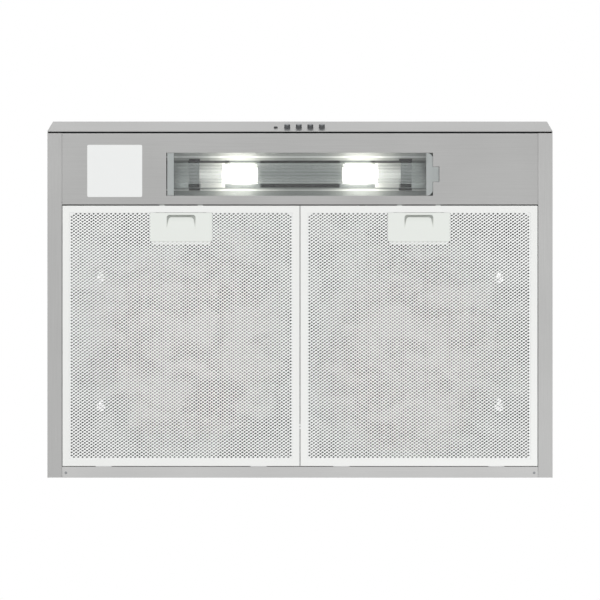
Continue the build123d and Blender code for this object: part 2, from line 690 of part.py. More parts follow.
for word, x_mid in (("left", handle_x[0]), ("right", handle_x[1])):
    half = filter_length / 2
    with BuildPart() as filter_frame:
        on_filter(x_mid, half, y_filter, (z_rim, z_rim + filter_thickness))
        on_filter(
            x_mid,
            half - filter_wall,
            (y_filter[0] + filter_wall, y_filter[1] - filter_wall),
            (z_lip, z_rim + filter_thickness - filter_wall),
            Mode.SUBTRACT,
        )
        on_filter(
            x_mid,
            half - filter_lip,
            (y_filter[0] + filter_lip, y_filter[1] - filter_lip),
            (z_rim - 1, z_lip + 1),
            Mode.SUBTRACT,
        )
        on_filter(
            x_mid,
            half - filter_top_lip,
            (y_filter[0] + filter_top_lip, y_filter[1] - filter_top_lip),
            (z_rim + filter_thickness - 2 * filter_wall, z_rim + filter_thickness + 1),
            Mode.SUBTRACT,
        )
        for s in (-1, 1):
            on_filter(
                x_mid + s * tongue_spacing / 2,
                tongue_width / 2 + tongue_gap,
                (y_filter[0] - 1, y_filter[0] + 2 * filter_wall),
                (z_tongue[0] - tongue_gap, z_tongue[1] + tongue_gap),
                Mode.SUBTRACT,
            )
            # hook that lies over the rear strip and carries the filter
            on_filter(
                x_mid + s * hook_spacing / 2,
                hook_width / 2,
                (y_filter[1] - filter_wall, y_wall - rear_flange + hook_reach),
                (z_rim + sheet + hook_gap, z_rim + sheet + hook_gap + hook_thickness),
            )
    filter_frame.part.label = f"filter_frame_{word}"
    export_step(filter_frame.part, f"parts/filter_frame_{word}.step")

    inside = filter_wall + layer_gap
    y_inside = (y_filter[0] + inside, y_filter[1] - inside)
    y_notch_face = (y_filter[0], y_housing[1])
    with BuildPart() as filter_face:
        on_filter(x_mid, half - inside, y_inside, z_face)
        on_filter(x_mid, housing_half, y_notch_face, (z_face[0] - 1, z_face[1] + 1), Mode.SUBTRACT)
    filter_face.part.label = f"filter_face_{word}"
    export_step(filter_face.part, f"parts/filter_face_{word}.step")

    with BuildPart() as filter_layers:
        for layer in range(layer_count):
            z_low = z_face[1] + (layer + 1) * layer_pitch - layer_thickness
            on_filter(x_mid, half - inside, y_inside, (z_low, z_low + layer_thickness))
        on_filter(
            x_mid,
            housing_half + housing_flange + layer_gap,
            (y_filter[0], y_housing[1] + housing_flange + layer_gap),
            (z_face[1], z_rim + filter_thickness - 0.5),
            Mode.SUBTRACT,
        )
    filter_layers.part.label = f"filter_layers_{word}"
    export_step(filter_layers.part, f"parts/filter_layers_{word}.step")

    with BuildPart() as latch_housing:
        on_filter(
            x_mid,
            housing_half + housing_flange,
            (y_housing[0], y_housing[1] + housing_flange),
            (z_face[1], z_face[1] + housing_wall),
        )
        on_filter(
            x_mid,
            housing_half + housing_wall,
            (y_housing[0], y_housing[1] + housing_wall),
            (z_face[1], z_housing + housing_wall),
        )
        on_filter(
            x_mid,
            housing_half,
            (y_housing[0] - 1, y_housing[1]),
            (z_face[1] - 1, z_housing),
            Mode.SUBTRACT,
        )
    latch_housing.part.label = f"latch_housing_{word}"
    export_step(latch_housing.part, f"parts/latch_housing_{word}.step")

    with BuildPart() as latch:
        with BuildSketch(Plane.XY.offset(z_rim)):
            with Locations((x_mid, (y_handle[0] + y_handle[1]) / 2)):
                RectangleRounded(*handle_size, 1.5)
        extrude(amount=handle_plate)
        on_filter(x_mid, handle_core[0] / 2, y_core, (z_rim, z_rim + handle_core[2]))
        for s in (-1, 1):
            on_filter(
                x_mid + s * tongue_spacing / 2,
                tongue_width / 2,
                (y_pan_rear - tongue_reach, y_core[0] + 1),
                z_tongue,
            )
        # finger pocket, deep at the front and running out to the rear
        y_pull = (handle_front + pull_inset, handle_front + pull_inset + pull_size[1])
        with BuildSketch(Plane.XY.offset(z_rim)) as pull_outline:
            with Locations((x_mid, (y_pull[0] + y_pull[1]) / 2)):
                Rectangle(pull_size[0], pull_size[1])
            fillet(pull_outline.vertices().group_by(Axis.Y)[0], pull_corner)
        with BuildSketch(Plane.XY.offset(z_rim + pull_size[2])) as pull_floor:
            with Locations((x_mid, y_pull[0] + pull_size[1] * 0.35)):
                Rectangle(pull_size[0] * 0.84, pull_size[1] * 0.5)
            fillet(pull_floor.vertices().group_by(Axis.Y)[0], pull_corner * 0.7)
        loft(mode=Mode.SUBTRACT)
    latch.part.label = f"latch_{word}"
    export_step(latch.part, f"parts/latch_{word}.step")

    with BuildPart() as latch_springs:
        spring_length = y_housing[1] - y_core[1] - 2 * spring_wire - 0.4
        z_spring = (z_rim + handle_core[2] + z_face[1]) / 2
        for s in (-1, 1):
            start = (x_mid + s * spring_offset, y_core[1] + spring_wire + 0.2, z_spring)
            with BuildLine() as coil:
                Helix(
                    spring_length / spring_turns,
                    spring_length,
                    spring_r,
                    center=start,
                    direction=(0, 1, 0),
                )
            with BuildSketch(Plane(origin=coil.line @ 0, z_dir=coil.line % 0)):
                Circle(spring_wire)
            sweep(path=coil.line, is_frenet=True)
    latch_springs.part.label = f"latch_springs_{word}"
    export_step(latch_springs.part, f"parts/latch_springs_{word}.step")

# ================================================================ blower
# the spiral fills the height between the filters and the top, and its cutoff stands at the
# front of the outlet
z_outlet = -2 * sheet
outlet_half = collar_y / 2 - collar_wall - outlet_margin


def growth(angle):
    return scroll_growth * (angle - scroll_cutoff) / (360.0 - scroll_cutoff)


blower_space = z_outlet - (z_rim + filter_thickness + blower_clearance) - roof_gap
wheel_r = (blower_space - growth(270.0) - growth(90.0)) / 2 - scroll_start_gap
scroll_start_r = wheel_r + scroll_start_gap
z_hub = z_rim + filter_thickness + blower_clearance + scroll_start_r + growth(270.0)
cutoff_y = scroll_start_r * math.cos(math.radians(scroll_cutoff))
y_hub = y_duct - outlet_half + cutoff_step - cutoff_y
wheel_centre = (y_hub, z_hub)
motor_r = wheel_r - motor_step
inlet_r = wheel_r - inlet_lap
scroll_near = motor_length / 2 + motor_cap + scroll_to_motor
scroll_far = collar_x / 2 - scroll_to_collar
wheel_near = scroll_near + wheel_gap
wheel_length = scroll_far - scroll_sheet - wheel_gap - wheel_near


def scroll_point(angle, wall):
    r = scroll_start_r + growth(angle) - wall
    turn = math.radians(angle)
    return (y_hub + r * math.cos(turn), z_hub + r * math.sin(turn))


def scroll_profile(wall, rise):
    # spiral of three arcs from the cutoff round to the rear, then the flared outlet
    stops = [scroll_cutoff + (360.0 - scroll_cutoff) * k / 6 for k in range(7)]
    points = [scroll_point(stop, wall) for stop in stops]
    front_top = (y_duct - outlet_half + wall, z_outlet + rise)
    rear_top = (y_duct + outlet_half - wall, z_outlet + rise)
    tongue = [(points[0][0] + wall, points[0][1])] if wall else []
    with BuildLine() as loop:
        for k in (0, 2, 4):
            ThreePointArc(points[k], points[k + 1], points[k + 2])
        Polyline(points[-1], rear_top, front_top, *tongue, points[0])
    make_face(loop.line)


for side, word in ((-1, "left"), (1, "right")):
    with BuildPart() as scroll_housing:
        with BuildSketch(Plane.YZ.offset(scroll_near)):
            scroll_profile(0.0, 0.0)
        extrude(amount=scroll_far - scroll_near)
        block(
            (scroll_near - 3, scroll_far + 8),
            (y_duct - outlet_half - 8, y_duct + outlet_half + 8),
            (z_outlet - sheet, z_outlet),
        )
        with BuildSketch(Plane.YZ.offset(scroll_near + scroll_sheet)):
            scroll_profile(scroll_sheet, 1.0)
        extrude(amount=scroll_far - scroll_near - 2 * scroll_sheet, mode=Mode.SUBTRACT)
        rod_along_x(wheel_centre, inlet_r, (scroll_near - 1, scroll_far + 1), Mode.SUBTRACT)
        if side < 0:
            mirror(about=Plane.YZ, mode=Mode.REPLACE)
    scroll_housing.part.label = f"scroll_housing_{word}"
    export_step(scroll_housing.part, f"parts/scroll_housing_{word}.step")

    with BuildPart() as fan_wheel:
        with BuildSketch(Plane.YZ.offset(wheel_near)):
            with Locations(wheel_centre):
                with PolarLocations(wheel_r - blade_length / 2, blade_count):
                    Rectangle(blade_length * 1.06, blade_thickness, rotation=38)
        extrude(amount=wheel_length)
        middle = wheel_near + wheel_length / 2
        ends = (wheel_near, wheel_near + wheel_length)
        for x in ((ends[0], ends[0] + 2), (ends[1] - 2, ends[1]), (middle - 0.6, middle + 0.6)):
            rod_along_x(wheel_centre, wheel_r, x)
        for x in ((ends[0] - 1, middle - 0.6), (middle + 0.6, ends[1] + 1)):
            rod_along_x(wheel_centre, wheel_r - blade_length, x, Mode.SUBTRACT)
        rod_along_x(wheel_centre, hub_r, (middle - 9, middle + 9))
        rod_along_x(wheel_centre, shaft_r + pin_clearance, (ends[0] - 1, ends[1] + 1), Mode.SUBTRACT)
        if side < 0:
            mirror(about=Plane.YZ, mode=Mode.REPLACE)
    fan_wheel.part.label = f"fan_wheel_{word}"
    export_step(fan_wheel.part, f"parts/fan_wheel_{word}.step")

with BuildPart() as motor:
    rod_along_x(wheel_centre, motor_r, (-motor_length / 2, motor_length / 2))
    fillet(motor.edges(), 2.5)
    cap_x = motor_length / 2 + motor_cap
    rod_along_x(wheel_centre, motor_cap_r, (-cap_x, cap_x))
    rod_along_x(wheel_centre, shaft_r + pin_clearance, (-cap_x - 1, cap_x + 1), Mode.SUBTRACT)
motor.part.label = "motor"
export_step(motor.part, "parts/motor.step")

with BuildPart() as motor_shaft:
    reach = wheel_near + wheel_length - 4
    rod_along_x(wheel_centre, shaft_r, (-reach, reach))
motor_shaft.part.label = "motor_shaft"
export_step(motor_shaft.part, "parts/motor_shaft.step")

strap_r = motor_r + strap_gap
y_web = y_hub - 17.0

with BuildPart() as motor_bracket:
    rod_along_x(wheel_centre, strap_r + strap_thickness, (-strap_width / 2, strap_width / 2))
    block((-strap_width / 2, strap_width / 2), (y_web, y_web + strap_thickness), (z_hub, -sheet))
    block((-30, 30), (y_web - 24, y_web + strap_thickness), (-sheet - strap_thickness, -sheet))
    rod_along_x(wheel_centre, strap_r, (-strap_width, strap_width), Mode.SUBTRACT)
motor_bracket.part.label = "motor_bracket"
export_step(motor_bracket.part, "parts/motor_bracket.step")

# ================================================================ duct collar and damper
collar_half = (collar_x / 2, collar_y / 2)
z_damper = damper_rise
flap_x = collar_half[0] - collar_wall - flap_gap
flap_reach = collar_half[1] - collar_wall - flap_gap

with BuildPart() as duct_collar:
    with BuildSketch(Plane.XY.offset(-2 * sheet)):
        with Locations((0, y_duct)):
            Rectangle(collar_x + 2 * collar_flange, collar_y + 2 * collar_flange)
    extrude(amount=sheet)
    with BuildSketch(Plane.XY.offset(-2 * sheet)):
        with Locations((0, y_duct)):
            Rectangle(collar_x, collar_y)
    extrude(amount=2 * sheet + collar_rise)
    block(
        (-collar_half[0] + collar_wall, collar_half[0] - collar_wall),
        (y_duct - collar_half[1] + collar_wall, y_duct + collar_half[1] - collar_wall),
        (-3 * sheet, collar_rise + 1),
        Mode.SUBTRACT,
    )
    for s in (-1, 1):
        edge = y_duct + s * (collar_half[1] - collar_wall / 2)
        ledge = sorted((edge, edge - s * ledge_width))
        z_ledge = z_damper - flap_thickness / 2 - ledge_gap
        block(
            (-collar_half[0] + collar_wall / 2, collar_half[0] - collar_wall / 2),
            ledge,
            (z_ledge - collar_wall, z_ledge),
        )
    rod_along_x(
        (y_duct, z_damper),
        damper_rod_r + pin_clearance,
        (-collar_half[0] - 1, collar_half[0] + 1),
        Mode.SUBTRACT,
    )
duct_collar.part.label = "duct_collar"
export_step(duct_collar.part, "parts/duct_collar.step")

with BuildPart() as damper_rod:
    rod_along_x((y_duct, z_damper), damper_rod_r, (-collar_half[0], collar_half[0]))
damper_rod.part.label = "damper_rod"
export_step(damper_rod.part, "parts/damper_rod.step")

knuckle_x = [knuckle_pitch * (k - 2.5) for k in range(6)]

for s, word, first in ((-1, "front", 0), (1, "rear", 1)):
    with BuildPart() as damper_flap:
        plate_y = sorted((y_duct + s * flap_root, y_duct + s * flap_reach))
        z_plate = (z_damper - flap_thickness / 2, z_damper + flap_thickness / 2)
        block((-flap_x, flap_x), plate_y, z_plate)
        for x in knuckle_x[first::2]:
            ends = (x - knuckle_length / 2, x + knuckle_length / 2)
            rod_along_x((y_duct, z_damper), knuckle_r, ends)
            block(ends, sorted((y_duct, y_duct + s * (flap_root + 1))), z_plate)
            rod_along_x((y_duct, z_damper), damper_rod_r + pin_clearance, ends, Mode.SUBTRACT)
    damper_flap.part.label = f"damper_flap_{word}"
    export_step(damper_flap.part, f"parts/damper_flap_{word}.step")

# ================================================================ wiring
with BuildPart() as junction_box:
    block(box_x, box_y, (-sheet - box_depth, -sheet))
    block(
        (box_x[0] + sheet, box_x[1] - sheet),
        (box_y[0] + sheet, box_y[1] - sheet),
        (-2 * sheet - box_depth, -2 * sheet),
        Mode.SUBTRACT,
    )
    with Locations((*inlet_centre, -sheet)):
        Cylinder(inlet_hole_r, 4 * sheet, mode=Mode.SUBTRACT)
    harness_z = -sheet - harness_r - 4.0
    harness_x = box_x[0] + 24.0
    with BuildSketch(Plane.XZ.offset(-box_y[0])):
        with Locations((harness_x, harness_z)):
            Circle(harness_r + 0.3)
    extrude(amount=3 * sheet, both=True, mode=Mode.SUBTRACT)
junction_box.part.label = "junction_box"
export_step(junction_box.part, "parts/junction_box.step")

with BuildPart() as junction_cover:
    z_cover = -sheet - box_depth
    block(box_x, box_y, (z_cover - sheet, z_cover))
    block(
        (box_x[0] + sheet + 0.3, box_x[1] - sheet - 0.3),
        (box_y[0] + sheet + 0.3, box_y[0] + 2 * sheet + 0.3),
        (z_cover, z_cover + 8),
    )
    for corner in (-1, 1):
        with Locations((inlet_centre[0] + corner * 30, inlet_centre[1] + 20, z_cover - sheet)):
            Cylinder(3.5, 1.6, align=(Align.CENTER, Align.CENTER, Align.MAX))
junction_cover.part.label = "junction_cover"
export_step(junction_cover.part, "parts/junction_cover.step")

with BuildPart() as terminal_block:
    block(
        (box_x[0] + 50, box_x[0] + 80),
        (box_y[0] + 2 * sheet + 2, box_y[0] + 20),
        (-2 * sheet - 16, -2 * sheet),
    )
    for k in range(3):
        with Locations((box_x[0] + 56 + 9 * k, box_y[0] + 12, -2 * sheet - 16)):
            Cylinder(2.6, 6, mode=Mode.SUBTRACT)
terminal_block.part.label = "terminal_block"
export_step(terminal_block.part, "parts/terminal_block.step")

with BuildPart() as cable_bushing:
    with Locations((*inlet_centre, 0)):
        Cylinder(
            inlet_hole_r - 0.1, inlet_length, align=(Align.CENTER, Align.CENTER, Align.MAX)
        )
    with Locations((*inlet_centre, -2 * sheet)):
        Cylinder(
            inlet_hole_r + 3, inlet_length - 2 * sheet, align=(Align.CENTER, Align.CENTER, Align.MAX)
        )
    with Locations((*inlet_centre, 0)):
        Cylinder(inlet_bore_r, 3 * inlet_length, mode=Mode.SUBTRACT)
cable_bushing.part.label = "cable_bushing"
export_step(cable_bushing.part, "parts/cable_bushing.step")

capacitor_z = -sheet - 1.2 - capacitor_r - 0.3
capacitor_x = -flange_end - capacitor_to_collar

with BuildPart() as capacitor:
    with BuildSketch(Plane.XZ.offset(-capacitor_y - capacitor_length / 2)):
        with Locations((capacitor_x, capacitor_z)):
            Circle(capacitor_r)
    extrude(amount=capacitor_length)
    fillet(capacitor.edges(), 2)
capacitor.part.label = "capacitor"
export_step(capacitor.part, "parts/capacitor.step")

with BuildPart() as capacitor_clip:
    with BuildSketch(Plane.XZ.offset(-capacitor_y - 6)):
        with Locations((capacitor_x, capacitor_z)):
            Circle(capacitor_r + 1.5)
        with Locations((capacitor_x, -sheet - 0.6)):
            Rectangle(4 * capacitor_r, 1.2)
        with Locations((capacitor_x, capacitor_z)):
            Circle(capacitor_r + 0.3, mode=Mode.SUBTRACT)
    extrude(amount=12)
capacitor_clip.part.label = "capacitor_clip"
export_step(capacitor_clip.part, "parts/capacitor_clip.step")

# lead from the junction box under the slope to the switch body
harness_end = fascia_plane.from_local_coords((30, 0, switch_back))
harness_lead_in = fascia_plane.from_local_coords((30, 0, switch_back - 16))
slope_angle = math.atan2(-z_brow, y_top - y_brow)


def under_slope(y, drop):
    # z of a point this far below the slope panel
    return z_brow + (y - y_brow) * math.tan(slope_angle) - drop / math.cos(slope_angle)


harness_drop = sheet + harness_r + 3.0
y_bend = behind(70.0)
harness_route = [
    (harness_x, box_y[0] + 8, harness_z),
    (harness_x, y_top + 34, harness_z),
    (harness_x - 40, y_top - 30, under_slope(y_top - 30, harness_drop)),
    (harness_end.X + 24, y_bend, under_slope(y_bend, harness_drop)),
    tuple(harness_lead_in),
    tuple(harness_end),
]


def corner_radius(before, here, after):
    # an arc that takes 0.45 of the shorter run on each side of a corner
    into = Vector(*here) - Vector(*before)
    out = Vector(*after) - Vector(*here)
    half_turn = math.radians(into.get_angle(out)) / 2
    return 0.45 * min(into.length, out.length) / math.tan(half_turn)


bends = [corner_radius(*harness_route[k : k + 3]) for k in range(len(harness_route) - 2)]
print("harness bend radii", [round(bend, 1) for bend in bends])

with BuildPart() as wiring_harness:
    with BuildLine() as harness_line:
        FilletPolyline(*harness_route, radius=bends)
    with BuildSketch(Plane(origin=harness_line.line @ 0, z_dir=harness_line.line % 0)):
        Circle(harness_r)
    sweep(path=harness_line.line)
wiring_harness.part.label = "wiring_harness"
export_step(wiring_harness.part, "parts/wiring_harness.step")
harness_volume = math.pi * harness_r**2 * sum(edge.length for edge in harness_line.edges())
print("harness volume share", round(wiring_harness.part.volume / harness_volume, 4))

clip_y_places = (box_y[0] - 45, box_y[0] - 130)
clip_wall = 1.2
clip_r = harness_r + 0.2

with BuildPart() as harness_clips:
    for y in clip_y_places:
        with BuildSketch(Plane.XZ.offset(-y - 5)):
            with Locations((harness_x, harness_z)):
                Circle(clip_r + clip_wall)
            with Locations((harness_x + 8, -sheet - clip_wall / 2)):
                Rectangle(18, clip_wall)
            with Locations((harness_x, (harness_z - sheet) / 2)):
                Rectangle(2 * clip_wall, -sheet - harness_z)
            with Locations((harness_x, harness_z)):
                Circle(clip_r, mode=Mode.SUBTRACT)
        extrude(amount=10)
harness_clips.part.label = "harness_clips"
export_step(harness_clips.part, "parts/harness_clips.step")
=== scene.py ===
import bmesh
import bpy
import json
import math
import random
from mathutils import Matrix, Vector, noise


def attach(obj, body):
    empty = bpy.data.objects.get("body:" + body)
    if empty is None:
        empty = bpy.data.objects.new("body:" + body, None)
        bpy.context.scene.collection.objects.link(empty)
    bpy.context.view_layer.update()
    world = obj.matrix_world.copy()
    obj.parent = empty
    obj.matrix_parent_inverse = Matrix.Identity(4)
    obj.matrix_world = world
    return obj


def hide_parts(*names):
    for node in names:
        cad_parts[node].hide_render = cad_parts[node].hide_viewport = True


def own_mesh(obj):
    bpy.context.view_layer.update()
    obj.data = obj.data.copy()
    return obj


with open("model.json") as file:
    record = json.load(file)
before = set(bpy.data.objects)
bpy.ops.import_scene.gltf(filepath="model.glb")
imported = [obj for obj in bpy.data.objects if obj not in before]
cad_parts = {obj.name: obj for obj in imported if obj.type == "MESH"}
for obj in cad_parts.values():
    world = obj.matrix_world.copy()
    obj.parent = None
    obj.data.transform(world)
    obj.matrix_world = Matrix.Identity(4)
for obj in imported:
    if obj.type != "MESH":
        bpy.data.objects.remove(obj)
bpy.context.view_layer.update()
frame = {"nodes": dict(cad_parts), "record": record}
nodes = frame["nodes"]
mm = 0.001
sides = {"left": -1, "right": 1}

# camera: square on to the underside, with the hood's front edge at the top of the picture
view = {"distance": 2670, "middleY": -66.8, "rim": -130, "lens": 107.9, "sensor": 36, "clip": (0.05, 60)}

cameraData = bpy.data.cameras.new("underView")
cameraData.lens = view["lens"]
cameraData.sensor_width = view["sensor"]
cameraData.clip_start = view["clip"][0]
cameraData.clip_end = view["clip"][1]
camera = bpy.data.objects.new("underView", cameraData)
camera.location = (0, view["middleY"] * mm, (view["rim"] - view["distance"]) * mm)
camera.rotation_euler = (math.pi, 0, 0)  # looks up, with the wall side at the foot of the picture
bpy.context.scene.collection.objects.link(camera)
bpy.context.scene.camera = camera
bpy.context.scene.view_settings.view_transform = "Standard"
print("stage: camera")


def tone(text):
    # sRGB hex to linear, with alpha
    channels = [int(text[i : i + 2], 16) / 255 for i in (1, 3, 5)]
    return [c / 12.92 if c <= 0.04045 else ((c + 0.055) / 1.055) ** 2.4 for c in channels] + [1.0]


def shifted(text, step):
    # the same colour, this many of 255 levels lighter or darker
    return "#" + "".join(f"{min(255, max(0, int(text[i : i + 2], 16) + step)):02X}" for i in (1, 3, 5))


def addNode(tree, kind, settings=None, inputs=None):
    # one node, with its settings; an input is a value, or a link as (node, output)
    node = tree.nodes.new(kind)
    for key, value in (settings or {}).items():
        setattr(node, key, value)
    for key, value in (inputs or {}).items():
        socket = node.inputs[key]
        if isinstance(value, tuple) and isinstance(value[0], bpy.types.Node):
            tree.links.new(value[0].outputs[value[1]], socket)
        else:
            socket.default_value = value
    return node


def link(tree, source, output, shader, key):
    tree.links.new(source.outputs[output], shader.inputs[key])


def calc(tree, operation, first, second=0.0):
    # two numbers or links worked together; ABSOLUTE leaves out the second
    return addNode(tree, "ShaderNodeMath", {"operation": operation}, {0: first, 1: second})


def spanned(tree, source, low, high, atLow=0.0, atHigh=1.0):
    # atLow up to low, atHigh from high on, and even in between
    return addNode(tree, "ShaderNodeMapRange", inputs={0: source, 1: low, 2: high, 3: atLow, 4: atHigh})


def between(tree, source, low, high, soft=0.3):
    # 1 between two places in millimetres along one axis, with soft ends
    rise = spanned(tree, source, (low - soft) * mm, low * mm)
    fall = spanned(tree, source, high * mm, (high + soft) * mm, 1.0, 0.0)
    return calc(tree, "MULTIPLY", (rise, 0), (fall, 0))


def alongAxes(tree, source):
    # X, Y and Z of a place or a direction
    return addNode(tree, "ShaderNodeSeparateXYZ", inputs={0: source})


def grainNoise(tree, source, scale, detail=2.0, more=None):
    inputs = {"Vector": source, "Scale": scale, "Detail": detail, **(more or {})}
    return addNode(tree, "ShaderNodeTexNoise", inputs=inputs)


def mixTones(tree, factor, first, second):
    return addNode(tree, "ShaderNodeMix", {"data_type": "RGBA"}, {0: factor, 6: first, 7: second})


def ramp(tree, factor, stops):
    # colour ramp from (position, sRGB hex) stops
    node = addNode(tree, "ShaderNodeValToRGB", inputs={"Fac": factor})
    elements = node.color_ramp.elements
    while len(elements) < len(stops):
        elements.new(0.5)
    for element, (position, text) in zip(elements, stops):
        element.position = position
        element.color = tone(text)
    return node


def startMaterial(name, values):
    material = bpy.data.materials.new(name)
    material.use_nodes = True
    tree = material.node_tree
    shader = tree.nodes["Principled BSDF"]
    for key, value in values.items():
        shader.inputs[key].default_value = value
    place = addNode(tree, "ShaderNodeTexCoord")
    return material, tree, shader, place


def seenDirectly(tree):
    # 1 for what the camera sees, itself, through glass or in a mirror
    rays = addNode(tree, "ShaderNodeLightPath")
    straight = calc(tree, "MAXIMUM", (rays, "Is Camera Ray"), (rays, "Is Transmission Ray"))
    return calc(tree, "MAXIMUM", (straight, 0), (rays, "Is Glossy Ray"))


# the stage: white background, pale floor far below, soft light. Both look pure white when seen and
# light the hood as a pale room does
studio = {"air": "#EDEFF0", "airStrength": 0.98, "floorTone": "#EBEBEA", "floorZ": -3.4, "floorHalf": 14}
pureWhite = {"Color": (1, 1, 1, 1), "Strength": 1.0}

world = bpy.data.worlds.new("studio")
world.use_nodes = True
bpy.context.scene.world = world
worldTree = world.node_tree
worldTree.nodes.clear()
airLight = {"Color": tone(studio["air"]), "Strength": studio["airStrength"]}
air = addNode(worldTree, "ShaderNodeBackground", inputs=airLight)
backdrop = addNode(worldTree, "ShaderNodeBackground", inputs=pureWhite)
airMixInputs = {0: (seenDirectly(worldTree), 0), 1: (air, 0), 2: (backdrop, 0)}
airMix = addNode(worldTree, "ShaderNodeMixShader", inputs=airMixInputs)
addNode(worldTree, "ShaderNodeOutputWorld", inputs={"Surface": (airMix, 0)})

floorMaterial = bpy.data.materials.new("paleFloor")
floorMaterial.use_nodes = True
floorTree = floorMaterial.node_tree
floorTree.nodes.clear()
floorPaint = addNode(floorTree, "ShaderNodeBsdfDiffuse", inputs={"Color": tone(studio["floorTone"])})
floorGlow = addNode(floorTree, "ShaderNodeEmission", inputs=pureWhite)
floorMixInputs = {0: (seenDirectly(floorTree), 0), 1: (floorPaint, 0), 2: (floorGlow, 0)}
floorMix = addNode(floorTree, "ShaderNodeMixShader", inputs=floorMixInputs)
addNode(floorTree, "ShaderNodeOutputMaterial", inputs={"Surface": (floorMix, 0)})

floorMesh = bmesh.new()
bmesh.ops.create_grid(floorMesh, x_segments=1, y_segments=1, size=studio["floorHalf"])
bmesh.ops.translate(floorMesh, verts=floorMesh.verts, vec=(0, 0, studio["floorZ"]))
floorData = bpy.data.meshes.new("floor")
floorMesh.to_mesh(floorData)
floorMesh.free()
floor = bpy.data.objects.new("floor", floorData)
floorData.materials.append(floorMaterial)
bpy.context.scene.collection.objects.link(floor)

lights = {
    "belowFront": {"at": (-0.8, -2.6, -2.0), "size": 3.6, "power": 25},
    "belowRear": {"at": (1.2, 1.8, -2.2), "size": 3.2, "power": 10},
    "aboveFront": {"at": (-3.3, -1.2, 2.7), "size": 3.2, "power": 22},
    "aboveRear": {"at": (1.4, 2.2, 2.6), "size": 4.0, "power": 18},
}
lightsAim = (0, -0.07, -0.07)
for name, light in lights.items():
    lamp = bpy.data.lights.new(name, "AREA")
    lamp.size = light["size"]
    lamp.energy = light["power"]
    lampObject = bpy.data.objects.new(name, lamp)
    lampObject.location = light["at"]
    aim = Vector(lightsAim) - Vector(light["at"])
    lampObject.rotation_euler = aim.to_track_quat("-Z", "Y").to_euler()
    lampObject.visible_camera = False
    bpy.context.scene.collection.objects.link(lampObject)
print("stage: studio")

# 430 stainless steel, number 4 finish: brushed along the width by a belt, so the eye sees fine
# streaks and a soft, stretched shine. The streaks are about 0.1 mm wide and are drawn coarser to show
brushed = {
    "tone": "#BFBFBE",
    "contrast": 4,
    "streakMm": 0.7,
    "streakLengthMm": 90,
    "streakDepthMm": 0.06,
    "stretch": 0.45,
    "roughness": (0.30, 0.42),
    "cloud": ("#F8F8F8", "#FFFFFF"),
    "cloudScale": 7.0,
    "edgeMm": 0.5,
}
# the groove under the fascia, dark with painted shade: a strip of Y that leans with the fascia, and a strip
# of Z
seamGrooveShade = {"y": (-360.2, -352), "lean": 1 / 3, "z": (-129.2, -100), "tone": "#323334"}


def brushedSteel(name, along, text, groove=None):
    material, tree, shader, place = startMaterial(name, {"Metallic": 1.0, "Anisotropic": brushed["stretch"]})
    narrow = 1 / (brushed["streakMm"] * mm)
    slow = 1 / (brushed["streakLengthMm"] * mm)
    scale = [narrow] * 3
    scale["xyz".index(along)] = slow
    spread = addNode(tree, "ShaderNodeMapping", inputs={"Vector": (place, "Object"), "Scale": scale})
    streaks = grainNoise(tree, (spread, 0), 1.0, 3.0, {"Roughness": 0.6})
    darkTone = shifted(text, -brushed["contrast"])
    lightTone = shifted(text, brushed["contrast"])
    shade = ramp(tree, (streaks, 0), [(0.32, darkTone), (0.5, text), (0.68, lightTone)])
    cloud = grainNoise(tree, (place, "Object"), brushed["cloudScale"])
    cloudTone = ramp(tree, (cloud, 0), [(0.3, brushed["cloud"][0]), (0.7, brushed["cloud"][1])])
    multiply = {"data_type": "RGBA", "blend_type": "MULTIPLY"}
    sheetTone = addNode(tree, "ShaderNodeMix", multiply, {0: 1.0, 6: (shade, 0), 7: (cloudTone, 0)})
    if groove:
        # the bent edges inside the groove are painted dark: painted shade
        spot = alongAxes(tree, (place, "Object"))
        leanInputs = {0: (spot, 2), 1: groove["lean"], 2: (spot, 1)}
        lean = addNode(tree, "ShaderNodeMath", {"operation": "MULTIPLY_ADD"}, leanInputs)
        deep = between(tree, (lean, 0), *groove["y"])
        high = between(tree, (spot, 2), *groove["z"])
        inside = calc(tree, "MULTIPLY", (deep, 0), (high, 0))
        sheetTone = mixTones(tree, (inside, 0), (sheetTone, 2), tone(groove["tone"]))
    link(tree, sheetTone, 2, shader, "Base Color")
    rough = spanned(tree, (streaks, 0), 0.3, 0.7, *brushed["roughness"])
    link(tree, rough, 0, shader, "Roughness")
    edge = addNode(tree, "ShaderNodeBevel", {"samples": 4}, {"Radius": brushed["edgeMm"] * mm})
    bumpInputs = {"Height": (streaks, 0), "Normal": (edge, 0), "Strength": 0.15}
    bumpInputs["Distance"] = brushed["streakDepthMm"] * mm
    bump = addNode(tree, "ShaderNodeBump", inputs=bumpInputs)
    link(tree, bump, 0, shader, "Normal")
    grain = addNode(tree, "ShaderNodeCombineXYZ", inputs={"xyz".index(along): 1.0})
    link(tree, grain, 0, shader, "Tangent")
    return material


# levels of 255 by which the outer panels are darker or lighter than the rest: painted light and shade
paintedPanelLight = {"fascia": -14, "rear": 16, "left": -3, "right": 4}
fasciaShadedTone = shifted(brushed["tone"], paintedPanelLight["fascia"])
steelAcross = brushedSteel("stainlessBrushedAcross", "x", brushed["tone"])
steelFront = brushedSteel("stainlessBrushedFront", "x", brushed["tone"], seamGrooveShade)
steelFascia = brushedSteel("stainlessBrushedFascia", "x", fasciaShadedTone, seamGrooveShade)
steelRear = brushedSteel("stainlessBrushedRear", "x", shifted(brushed["tone"], paintedPanelLight["rear"]))
steelLeft = brushedSteel("stainlessBrushedLeft", "y", shifted(brushed["tone"], paintedPanelLight["left"]))
steelRight = brushedSteel("stainlessBrushedRight", "y", shifted(brushed["tone"], paintedPanelLight["right"]))

# hot-dip galvanised sheet: zinc crystals a few millimetres wide, each catching the light its own way
zinc = {"spangleMm": 9, "dark": "#8F9294", "light": "#B9BCBE", "roughness": (0.34, 0.52)}


